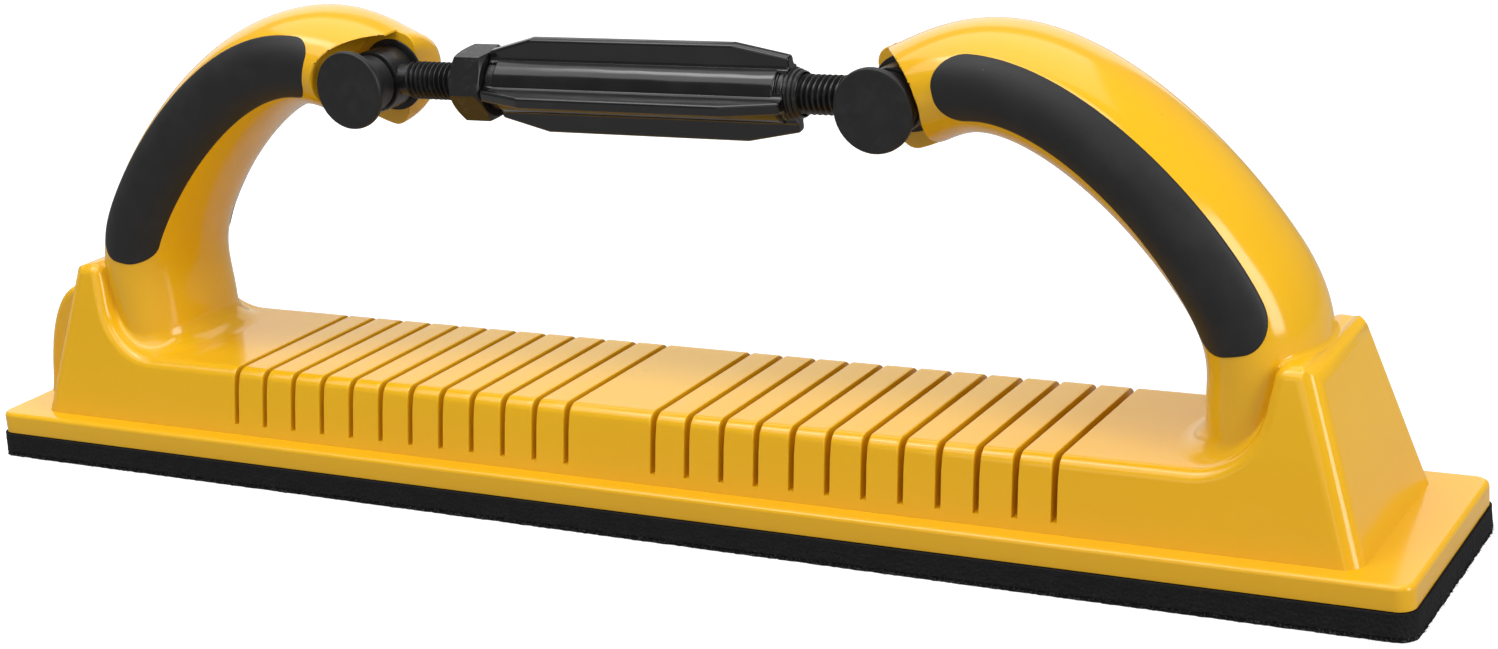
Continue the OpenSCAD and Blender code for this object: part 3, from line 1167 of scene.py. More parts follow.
@dataclass(frozen=True)
class GripOutline:
    """Outline of a grip, laid along a handle's curve."""

    curve: HandleCurve
    inner: tuple
    round_top: float
    outer: float = 8.3
    start: float = 0.262
    end: float = 0.812
    round_low: float = 7.5
    long_steps: int = 84
    cross_steps: int = 30

    def spread(self, u: float, v: float, grow: float) -> tuple[float, float, float]:
        """Place a unit square's point inside the outline.

        Args:
            u: from -1 at the lower end to 1 at the upper end.
            v: from -1 at the inner edge to 1 at the outer edge.
            grow: how far the outline is grown.

        Returns:
            Place along the curve, place across it, distance to the outline.
        """
        slow, fast = self.curve.speed(self.start), self.curve.speed(self.end)
        low, high = self.start - grow / slow, self.end + grow / fast
        t = (low + high) / 2.0 + (high - low) / 2.0 * math.sin(u * math.pi / 2.0)
        share = (t - self.start) / (self.end - self.start)
        inner = bezier(self.inner, min(max(share, 0.0), 1.0))
        full = (self.outer + inner) / 2.0 + grow
        middle = (self.outer - inner) / 2.0
        half, corner, gone = full, 0.0, 0.0
        for away, radius in (
            ((t - low) * slow, self.round_low + grow),
            ((high - t) * fast, self.round_top + grow),
        ):
            if away < radius:
                corner, gone = radius, radius - away
                half = full - radius + math.sqrt(max(0.0, radius**2 - gone**2))
        across = half * math.sin(v * math.pi / 2.0)
        past = abs(across) - (full - corner)
        near = min(full - abs(across), (t - low) * slow, (high - t) * fast)
        if corner and past > 0.0:
            near = corner - math.hypot(gone, past)
        return t, middle + across, max(near, 0.0)

    def plate(
        self, face: Face, grow: float, low: float, high: float, edge: float, name: str
    ) -> Object:
        """Plate bent onto the handle's skin.

        Args:
            face: the long face that it lies on.
            grow: how far its outline is grown.
            low: height of its underside over the skin.
            high: height of its top over the skin.
            edge: radius of its top edge.
            name: name of the object.

        Returns:
            The closed plate, in millimetres.
        """
        bm = bmesh.new()
        bmesh.ops.create_grid(
            bm, x_segments=self.long_steps, y_segments=self.cross_steps, size=1.0
        )
        below = set(bm.verts)
        bmesh.ops.extrude_face_region(bm, geom=bm.faces[:])
        for vert in bm.verts:
            t, n, near = self.spread(vert.co.x, vert.co.y, grow)
            drop = max(0.0, edge - near)
            top = high - edge + math.sqrt(max(0.0, edge**2 - drop**2)) if edge else high
            vert.co = self.curve.on_skin(t, n, face, low if vert in below else top)
        return draft(bm, name)


@dataclass
class Handle:
    """One handle with its two grips."""

    side: Side
    outline: GripOutline
    shell: Coat
    rubber: Coat
    ground: Ground
    pocket: float = 11.7
    roof: float = 2.4
    pocket_low: float = 8.6
    pocket_steps: int = 40
    lip: float = 0.35
    fillet_in: float = 7.0
    fillet_side: float = 2.6
    fillet_out: float = 1.0
    fillet_least: float = 0.35
    fillet_steps: int = 8
    flank: float = 0.8
    peg_in: float = 0.6
    peg_deep: float = 12.0
    peg_neck: float = 2.0
    hem_deep: float = 0.8
    deepest: float = 13.0
    free: float = 1.07
    wall_steps: int = 26
    halvings: int = 26
    grip_depth: float = 2.0
    grip_round: float = 0.7
    grip_play: float = 0.02
    proud: float = 0.25
    seam: float = 0.22
    recess_extra: float = 0.1
    recess_top: float = 3.0
    rings: int = 120
    sides: int = 112
    tip_turns: range = range(12, 91, 13)

    def _column(self, index: int) -> list[Vector]:
        """Lower part of one column: peg, hem, fillet and wall.

        Args:
            index: number of the column.

        Returns:
            Points from the peg's foot to the start of the free bend.
        """
        curve, ground = self.outline.curve, self.ground
        turn = math.tau * index / self.sides
        power = 2.0 - 2.0 / Section.square
        outward = Vector((
            spow(math.cos(turn), power) / curve.foot_thick,
            spow(math.sin(turn), power) / curve.foot_wide, 0.0,
        )).normalized()

        def wall(u: float) -> Vector:
            """Point of the plain wall."""
            return curve.row(u).point(turn)

        def above(u: float, out: float) -> float:
            """Height of the wall over the ground at a distance outward."""
            point = wall(u) + outward * out
            return point.z - ground.height(point.x, point.y)

        def seek(out: float, rise: float) -> float:
            """Find a place on the wall by halving.

            Args:
                out: distance outward from the wall.
                rise: height over the ground there.

            Returns:
                The place's row.
            """
            low, high = -1.2, self.free
            for _ in range(self.halvings):
                middle = (low + high) / 2.0
                low, high = (low, middle) if above(middle, out) > rise else (middle, high)
            return high

        start = wall(seek(0.0, 0.0))
        room = (ground.half(start.z) - self.flank - abs(start.y)) / max(abs(outward.y), 0.02)
        deeper = self.fillet_in - self.fillet_side
        side = self.fillet_side + deeper * max(0.0, -outward.x) ** 1.5
        radius = side - (self.fillet_side - self.fillet_out) * max(0.0, outward.x)
        radius = max(self.fillet_least, min(radius, room))

        points = []
        for out, sunk in (
            (-self.peg_in, self.peg_deep), (-self.peg_in, self.peg_neck), (radius, self.hem_deep)
        ):
            spot = start + outward * out
            felt = (start.x + outward.x * max(out, 0.0), spot.y if out > 0.0 else start.y)
            level = max(ground.height(*felt) - sunk, curve.deck - self.deepest)
            points.append(Vector((spot.x, spot.y, level)))
        for out, rise in quarter(0.0, 0.0, radius, radius, self.fillet_steps)[:-1]:
            spot = wall(seek(out, rise)) + outward * out
            points.append(Vector((spot.x, spot.y, ground.height(spot.x, spot.y) + rise)))
        top = seek(0.0, radius)
        for step in range(self.wall_steps):
            points.append(wall(top + (self.free - top) * step / self.wall_steps))
        return points

    def _skin(self) -> Object:
        """Make the whole handle from its peg to the blunt tip.

        Returns:
            The closed skin, in millimetres.
        """
        curve = self.outline.curve
        columns = [self._column(index) for index in range(self.sides)]
        rows = [list(row) for row in zip(*columns)]
        span = 2.0 - self.free
        rows += [
            curve.row(self.free + span * k / self.rings).ring(self.sides)
            for k in range(self.rings + 1)
        ]
        rows += [curve.blunt(math.radians(a)).ring(self.sides) for a in self.tip_turns]
        return loft(rows, self.side.word + "_handle_shell")

    def _pocket(self, pin: Vector, floor: float) -> Object:
        """Make the cutter that opens the front half of the tip round the eye.

        Args:
            pin: middle of the pivot pin.
            floor: how far back the pocket reaches.

        Returns:
            The cutter, in millimetres.
        """
        radius, reach, steps = self.pocket, 2.0 * self.pocket, self.pocket_steps
        start = math.acos(-self.roof / radius)
        outline = [
            (radius * math.cos(start * k / steps), radius * math.sin(start * k / steps))
            for k in range(steps, -1, -1)
        ]
        outline += [(self.pocket_low, -reach), (-reach, -reach), (-reach, reach)]
        outline += [(-self.roof, reach)]
        bm = slab([(pin.x + x, pin.z + z) for x, z in outline], lambda z: reach)
        bmesh.ops.translate(bm, verts=bm.verts, vec=(0, floor - reach, 0))
        return draft(bm, "pocket")

    def _soften_lips(self, bm: BMesh, pin: Vector, floor: float) -> None:
        """Round the sharp rims that the pocket left.

        Args:
            bm: the handle's mesh.
            pin: middle of the pivot pin.
            floor: how far back the pocket reaches.
        """
        lips = [
            edge for edge in bm.edges
            if len(edge.link_faces) == 2
            and edge.calc_face_angle_signed(0.0) > 0.6
            and all(
                vert.co.y < floor + 0.01 and (vert.co - pin).xz.length < 1.6 * self.pocket
                for vert in edge.verts
            )
        ]
        round_edges(bm, lips, self.lip, 2, clamp=False)

    def _turn_round(self, piece: Object) -> None:
        """Swap a piece of the left handle to the left."""
        if self.side is Side.LEFT:
            mirror(piece)

    def build(self) -> list[Object]:
        """Make the handle and its grips and fix them to their body.

        Returns:
            The handle, then its front and rear grip.
        """
        low, high = node_box("right_pivot_pin")
        pin = (low + high) / 2.0
        floor = node_box("right_washer")[1].y
        word = self.side.word
        shell = self._skin()
        pieces = [shell]
        for face in Face:
            name = face.name.lower()
            recess = self.outline.plate(
                face, self.seam, -self.grip_depth - self.recess_extra, self.recess_top, 0.0,
                "recess_" + name,
            )
            carve(shell, recess, Cut.DIFFERENCE)
            grip = self.outline.plate(
                face, -self.grip_play, -self.grip_depth, self.proud, self.grip_round,
                f"{word}_{name}_inlay",
            )
            self._turn_round(grip)
            mount(grip, self.rubber, word + "_end", f"{word}_{name}_grip", weighted=False)
            pieces.append(grip)
        carve(shell, self._pocket(pin, floor), Cut.DIFFERENCE)
        reshape(shell, lambda bm: self._soften_lips(bm, pin, floor))
        self._turn_round(shell)
        mount(shell, self.shell, word + "_end", word + "_handle")
        return pieces


# ----------------------------------------------------------------------- board


@dataclass
class Board:
    """Yellow board moulding: plate, slotted deck, end blocks and boss."""

    curve: HandleCurve
    shell: Coat
    base: float
    plate_top: float
    half_len: float
    half_wide: float
    end_flange: float = 12.5
    deck_half: float = 29.05
    draft_angle: float = 11.1
    wall_lean: float = 16.0
    block_top: float = 53.9
    scoop_in: float = 25.6
    scoop_angle: float = 78.0
    scoop_round: float = 17.1
    scoop_steps: int = 16
    edge_round: float = 2.8
    block_round: float = 4.6
    ledge_round: float = 1.9
    plate_corner: float = 4.0
    plate_edge: float = 1.2
    slot_first: float = 12.67
    slot_pitch: float = 9.615
    slots: int = 12
    slot_width: float = 1.6
    slot_floor: float = 2.6
    slot_soft: float = 0.45
    boss_half: float = 14.0
    boss_top: tuple = (14.9, 44.3)
    boss_bulge: tuple = (4.0, 39.3)
    boss_foot: float = 1.0
    boss_root: float = -170.0
    boss_round: float = 2.2
    boss_steps: int = 12
    socket_low: float = -2.3
    socket_span: float = 3.5
    socket_steps: int = 30
    socket_sides: int = 72
    sunk: float = 1.0
    ground: Ground | None = None

    @property
    def lean(self) -> float:
        """Run of the end walls for each unit of height."""
        return math.tan(math.radians(self.wall_lean))

    @property
    def wall(self) -> float:
        """Distance from the middle to the foot of an end wall."""
        return self.half_len - self.end_flange

    @property
    def crest(self) -> float:
        """Distance from the middle to the top of an end wall."""
        return self.wall - (self.block_top - self.plate_top) * self.lean

    def half(self, z: float) -> float:
        """Half width of the drafted body at a height."""
        return self.deck_half - (z - self.plate_top) * math.tan(math.radians(self.draft_angle))

    def _side_view(self) -> list[tuple[float, float]]:
        """Draw the side view of deck and end blocks.

        Returns:
            Its outline, right half then left half.
        """
        slope = math.radians(self.scoop_angle)
        start = self.wall - self.scoop_in - self.scoop_round * math.tan(slope / 2.0)
        right = []
        for step in range(self.scoop_steps + 1):
            a = slope * step / self.scoop_steps
            right.append((
                start + self.scoop_round * math.sin(a),
                self.curve.deck + self.scoop_round * (1.0 - math.cos(a)),
            ))
        rise = self.block_top - self.curve.deck
        right += [
            (self.wall - self.scoop_in + rise / math.tan(slope), self.block_top),
            (self.crest, self.block_top),
            (self.wall + self.lean * self.sunk, self.plate_top - self.sunk),
        ]
        return right + [(-x, z) for x, z in reversed(right)]

    def _upper(self) -> Object:
        """Make deck and end blocks, their edges rounder at the end walls.

        Returns:
            The solid, in millimetres.
        """
        bm = slab(self._side_view(), self.half)
        sharp = 0.5

        def rims() -> set[BMEdge]:
            """Find the sharp edges of the long faces.

            Returns:
                Those above the foot.
            """
            return {
                e for e in long_edges(bm)
                if max(v.co.z for v in e.verts) > self.plate_top - self.sunk / 2.0
                and e.calc_face_angle(0.0) > sharp
            }

        def tops() -> set[BMEdge]:
            """Edges in the top of the end blocks."""
            return {e for e in bm.edges if min(v.co.z for v in e.verts) > self.block_top - 0.1}

        back = self.crest - 0.1
        walls = {e for e in rims() | tops() if min(abs(v.co.x) for v in e.verts) > back}
        round_edges(bm, walls, self.block_round, 6)
        rest = rims() | {e for e in tops() if e.calc_face_angle(0.0) > sharp}
        round_edges(bm, rest, self.edge_round, 6)
        return draft(bm, "board_upper")

    def _plate(self) -> Object:
        """Make the flat plate with its soft top edge.

        Returns:
            The solid, in millimetres.
        """
        bm = bmesh.new()
        tall = self.plate_top - self.base
        size = (2 * self.half_len, 2 * self.half_wide, tall)
        add_box(bm, size, (0, 0, self.base + tall / 2.0))
        corners = [e for e in bm.edges if abs(e.verts[0].co.z - e.verts[1].co.z) > 1.0]
        round_edges(bm, corners, self.plate_corner, 8)
        rim = [e for e in bm.edges if min(v.co.z for v in e.verts) > self.plate_top - 0.01]
        round_edges(bm, rim, self.plate_edge, 4)
        return draft(bm, "board_plate")

    def _boss(self) -> Object:
        """Make the boss that stands against the left end wall.

        Returns:
            The solid, in millimetres, its root inside the end block.
        """
        foot, root = self.plate_top - 3.0, self.boss_root
        points = [
            Vector((-self.half_len + x, z))
            for x, z in (self.boss_top, self.boss_bulge, (self.boss_foot, self.plate_top))
        ]
        outline = [
            tuple(bezier(points, k / self.boss_steps)) for k in range(self.boss_steps + 1)
        ]
        outline += [(points[2].x, foot), (root, foot), (root, self.boss_top[1])]
        bm = slab(outline, lambda z: self.boss_half)
        free = [
            e for e in long_edges(bm)
            if min(v.co.x for v in e.verts) < root - 5.0
            and max(v.co.z for v in e.verts) > self.plate_top
        ]
        round_edges(bm, free, self.boss_round, 4, clamp=False)
        return draft(bm, "boss")

    def _slot_cutter(self) -> Object:
        """Make all slots as one cutter.

        Returns:
            The cutter, in millimetres.
        """
        bm = bmesh.new()
        floor, top = self.plate_top + self.slot_floor, self.curve.deck + 4.0
        size = (self.slot_width, 90.0, top - floor)
        for side in Side:
            for k in range(self.slots):
                x = side.value * (self.slot_first + k * self.slot_pitch)
                add_box(bm, size, (x, 0, (top + floor) / 2.0))
        return draft(bm, "slots")

    def _socket(self) -> Object:
        """Make the space that a right-hand foot needs.

        Returns:
            The cutter, in millimetres.
        """
        span, steps = self.socket_span, self.socket_steps
        rows = [
            self.curve.row(self.socket_low + span * k / steps, self.curve.gap)
            for k in range(steps + 1)
        ]
        return loft([row.ring(self.socket_sides) for row in rows], "socket")

    def _soften_ledge(self, bm: BMesh) -> None:
        """Fill the corner between body and plate with a fillet.

        Args:
            bm: the board's mesh.
        """
        ledge = [
            e for e in bm.edges
            if len(e.link_faces) == 2
            and all(abs(v.co.z - self.plate_top) < 0.02 for v in e.verts)
            and e.calc_face_angle_signed(0.0) < -0.3
        ]
        round_edges(bm, ledge, self.ledge_round, 5)

    def _soften_slots(self, bm: BMesh) -> None:
        """Round the rims of the slots.

        Args:
            bm: the board's mesh.
        """
        floor = self.plate_top + self.slot_floor + 0.01

        def is_rim(edge: BMEdge) -> bool:
            """Tell whether an edge is the rim of a slot.

            Args:
                edge: an edge of the board.

            Returns:
                Whether just one of its two faces is a wall of a slot.
            """
            return (
                len(edge.link_faces) == 2
                and edge.calc_face_angle(0.0) >= 0.9
                and min(v.co.z for v in edge.verts) >= floor
                and sum(abs(f.normal.x) > 0.99 for f in edge.link_faces) == 1
                and abs(edge.verts[0].co.x) < BEND_END + 2.0
            )

        round_edges(bm, [edge for edge in bm.edges if is_rim(edge)], self.slot_soft, 2)

    def build(self) -> list[Object]:
        """Make the board as two halves, split at the middle.

        Returns:
            The left half and the right half.
        """
        body = self._upper()
        carve(body, self._plate(), Cut.UNION)
        carve(body, self._boss(), Cut.UNION)
        self.ground = Ground(body, self.crest - 1.5, self.half)
        carve(body, self._slot_cutter(), Cut.DIFFERENCE)
        carve(body, self._socket(), Cut.DIFFERENCE)
        twin = self._socket()
        mirror(twin)
        carve(body, twin, Cut.DIFFERENCE)
        reshape(body, self._soften_ledge)
        reshape(body, self._soften_slots)
        bend = Bend(self.slot_first - 1.0, BEND_END)
        return bend.split(body, "board_shell", self.shell, "base_board")


# ------------------------------------------------------------------------- pad


def rim_points(
    half_len: float, half_wide: float, radius: float, step: float
) -> list[tuple[Vector, Vector]]:
    """Walk round a rounded rectangle.

    Args:
        half_len: half its length along the board.
        half_wide: half its width.
        radius: radius of its corners.
        step: distance between points on the straight sides.

    Returns:
        Points, each with its outward direction.
    """
    points, chords = [], 8
    for count in range(4):
        turn = math.tau * count / 4.0
        along, across = (half_wide, half_len) if count % 2 == 0 else (half_len, half_wide)
        out = Vector((math.cos(turn), math.sin(turn), 0.0))
        side = Vector((-out.y, out.x, 0.0))
        straight = 2.0 * (along - radius)
        parts = max(2, round(straight / step))
        for k in range(parts):
            points.append((out * across + side * (straight * k / parts - straight / 2.0), out))
        corner = out * (across - radius) + side * (along - radius)
        for k in range(chords):
            bend = turn + math.tau / 4.0 * k / chords
            away = Vector((math.cos(bend), math.sin(bend), 0.0))
            points.append((corner + away * radius, away))
    return points


@dataclass(frozen=True)
class Layer:
    """One layer of the pad."""

    node: str
    coat: Coat
    flare: float
    corner: float
    rough: float
    levels: int


@dataclass
class PadStack:
    """Foam pad, tape and hook sheet under the board."""

    foam: Coat
    pile: Coat
    bend: Bend = Bend(11.7, BEND_END)
    step: float = 0.9
    coarse: float = 0.9
    fine: float = 2.3
    fine_share: float = 0.6
    fibres: int = 2600
    fibre_long: float = 1.5
    fibre_short: float = 0.35
    fibre_thick: float = 0.055
    fibre_taper: float = 0.3
    fibre_root: float = 0.3
    fibre_gap: float = 0.31
    fibre_low: float = 0.15
    fibre_least: float = 0.01
    sway: float = 0.6
    droop: tuple = (-0.1, 0.45)
    pile_corner: float = 4.5
    seed: int = 7

    def _solid(self, layer: Layer) -> Object:
        """Make one layer with uneven cut sides, its underside a little wider.

        Args:
            layer: the layer.

        Returns:
            The solid, in millimetres.
        """
        low, high = node_box(layer.node)
        rows = []
        rim = rim_points(high.x + LONGER, high.y, layer.corner, self.step)
        for level in range(layer.levels + 1):
            share = level / layer.levels
            z = low.z + (high.z - low.z) * share
            row = []
            for at, out in rim:
                spot = Vector((at.x, at.y, z))
                fine = self.fine_share * noise.noise(spot * self.fine)
                wide = layer.flare * (1.0 - share) ** 2
                wide += layer.rough * (noise.noise(spot * self.coarse) + fine)
                row.append(spot + out * wide)
            rows.append(row)
        return loft(rows, layer.node)

    def _fuzz(self, side: Side) -> Object:
        """Make loose fibres along the cut edge of the hook sheet.

        Args:
            side: the half of the sheet.

        Returns:
            The fibres, in millimetres.
        """
        low, high = node_box("hook_sheet")
        dice = random.Random(self.seed + side.value)
        rim = [
            item
            for item in rim_points(high.x + LONGER, high.y, self.pile_corner, self.fibre_gap)
            if item[0].x * side.value > 0.5
        ]
        bm = bmesh.new()
        for _ in range(self.fibres):
            at, out = dice.choice(rim)
            long = self.fibre_long * dice.uniform(self.fibre_short, 1.0)
            lean = Vector((
                dice.gauss(0, self.sway), dice.gauss(0, self.sway), dice.gauss(*self.droop)
            ))
            ahead = (out + lean).normalized()
            start = at + Vector((0, 0, dice.uniform(low.z + self.fibre_low, high.z)))
            middle = start + ahead * long * self.fibre_root
            middle.z = max(middle.z, self.fibre_low)
            turn = ahead.to_track_quat("Z", "Y").to_matrix().to_4x4()
            bmesh.ops.create_cone(
                bm, cap_ends=True, segments=3, radius1=self.fibre_thick,
                radius2=self.fibre_thick * self.fibre_taper, depth=long,
                matrix=Matrix.Translation(middle) @ turn,
            )
        for vert in bm.verts:
            vert.co.z = max(vert.co.z, self.fibre_least)
        return draft(bm, side.word + "_loose_fibres")

    def build(self) -> list[Object]:
        """Make the layers, each in two halves, and the loose fibres.

        Returns:
            The halves from the top layer down, then the fibres.
        """
        tape = Coat(self.foam.material, "tape")
        pieces = []
        for layer in (
            Layer("foam_pad", self.foam, flare=0.30, corner=4.5, rough=0.13, levels=6),
            Layer("adhesive_tape", tape, flare=0.0, corner=4.0, rough=0.03, levels=1),
            Layer("hook_sheet", self.pile, flare=0.25, corner=self.pile_corner, rough=0.28, levels=3),
        ):
            whole = self._solid(layer)
            pieces += self.bend.split(whole, layer.node + "_layer", layer.coat, layer.node)
        for side in Side:
            fuzz = self._fuzz(side)
            polish(fuzz, weighted=False)
            self.pile.dress(fuzz)
            self.bend.follow(fuzz, side)
            pieces.append(fuzz)
        return pieces


# ---------------------------------------------------------------------- pivots


@dataclass
class Pivot:
    """Pin cap, neck, washer, eye and threaded rod at one handle tip."""

    side: Side
    plastic: Coat
    steel: Coat
    cap_neck: float = 7.2
    eye_deep: float = 8.4
    eye_front: float = -7.65
    rod_neck: float = 4.05
    rod_neck_start: float = 2.0
    rod_neck_end: float = 11.0
    rod: float = 9.7
    pitch: float = 1.5
    thread_start: float = 10.0
    thread_end: float = 56.4
    thread_deep: float = 0.85
    thread_sides: int = 28

    def _cap(self, at: Vector) -> Object:
        """Make the flat round cap with a neck behind it.

        Args:
            at: middle of the pivot pin.

        Returns:
            The cap, in millimetres.
        """
        low, high = node_box(self.side.word + "_pin_cap")
        radius = (high.x - low.x) / 2.0
        deep, neck = high.y - low.y, self.cap_neck
        profile = [
            (0.0, 0.0), (radius - 1.0, 0.0), (radius - 0.35, 0.14), (radius - 0.08, 0.45),
            (radius, 0.9), (radius, 1.45), (radius - 0.12, 1.8), (radius - 0.5, 2.0),
            (neck + 0.6, 2.0), (neck + 0.15, 2.2), (neck, 2.6), (neck, deep - 0.3),
            (neck - 0.3, deep), (0.0, deep),
        ]
        return lathe(profile, BACK, 96, Vector((at.x, low.y, at.z)), self.side.word + "_cap")

    def _washer(self, at: Vector) -> Object:
        """Make the thin thrust washer.

        Args:
            at: middle of the pivot pin.

        Returns:
            The washer, in millimetres.
        """
        word = self.side.word
        low, high = node_box(word + "_washer")
        radius, deep = (high.x - low.x) / 2.0, high.y - low.y
        profile = [
            (0.0, 0.0), (radius - 0.15, 0.0), (radius, 0.15), (radius, deep - 0.1),
            (radius - 0.1, deep), (0.0, deep),
        ]
        return lathe(profile, BACK, 80, Vector((at.x, low.y, at.z)), word + "_thrust_washer")

    def _eye(self, at: Vector) -> Object:
        """Make eye and threaded rod in one piece.

        Args:
            at: middle of the pivot pin.

        Returns:
            The piece, in millimetres.
        """
        low, high = node_box(self.side.word + "_eye_rod")
        deep, radius = self.eye_deep, (high.z - low.z) / 2.0
        profile = [
            (0.0, 0.0), (radius - 0.6, 0.0), (radius - 0.15, 0.18), (radius, 0.6),
            (radius, deep - 0.6), (radius - 0.15, deep - 0.18), (radius - 0.6, deep), (0.0, deep),
        ]
        front = Vector((at.x, self.eye_front, at.z))
        body = lathe(profile, BACK, 72, front, self.side.word + "_eye")
        inward = -self.side.value
        line = Vector((at.x, (low.y + high.y) / 2.0, at.z))
        wide, start, end = self.rod_neck, self.rod_neck_start, self.rod_neck_end
        neck = lathe(
            [(0, start), (wide, start), (wide, end), (0, end)],
            Vector((inward, 0, 0)), 48, line, "eye_neck",
        )
        carve(body, neck, Cut.UNION)
        self._thread(body, line, inward)
        return body

    def _thread(self, body: Object, line: Vector, inward: int) -> None:
        """Add the threaded rod to the eye's mesh.

        Args:
            body: the piece that takes the thread.
            line: point of the rod's axis at the pin.
            inward: 1 or -1, the way the rod runs along X.
        """
        crest, root, steps = self.rod / 2.0, self.rod / 2.0 - self.thread_deep, self.thread_sides
        turns = int((self.thread_end - self.thread_start) / self.pitch)
        bm = bmesh.new()
        tooth = (
            (root, 0.0), (root, 0.18), (crest, 0.66), (crest, 0.84), (root, 1.32),
            (root, self.pitch),
        )
        verts = [bm.verts.new((self.thread_start + x, 0.0, radius)) for radius, x in tooth]
        edges = [bm.edges.new(pair) for pair in zip(verts, verts[1:])]
        bmesh.ops.spin(
            bm, geom=verts + edges, cent=(0, 0, 0), axis=(1, 0, 0),
            dvec=(self.pitch / steps, 0, 0), angle=math.tau * turns,
            steps=steps * turns, use_merge=False,
        )
        bmesh.ops.remove_doubles(bm, verts=bm.verts, dist=0.02)
        close(bm)
        bmesh.ops.scale(bm, verts=bm.verts, vec=(inward, 1, 1))
        bmesh.ops.translate(bm, verts=bm.verts, vec=line)
        bmesh.ops.recalc_face_normals(bm, faces=bm.faces)
        bm.from_mesh(body.data)
        bm.to_mesh(body.data)
        bm.free()

    def build(self) -> list[Object]:
        """Make the pivot's pieces and fix them to their bodies.

        Returns:
            Cap, washer and eye.
        """
        word = self.side.word
        low, high = node_box(word + "_pivot_pin")
        at = (low + high) / 2.0
        cap, washer, eye = self._cap(at), self._washer(at), self._eye(at)
        mount(cap, self.plastic, word + "_end", word + "_pin_cap")
        mount(washer, self.plastic, word + "_end", word + "_washer")
        mount(eye, self.steel, word + "_rod", word + "_eye_rod")
        return [cap, washer, eye]


# ------------------------------------------------------------------ turnbuckle


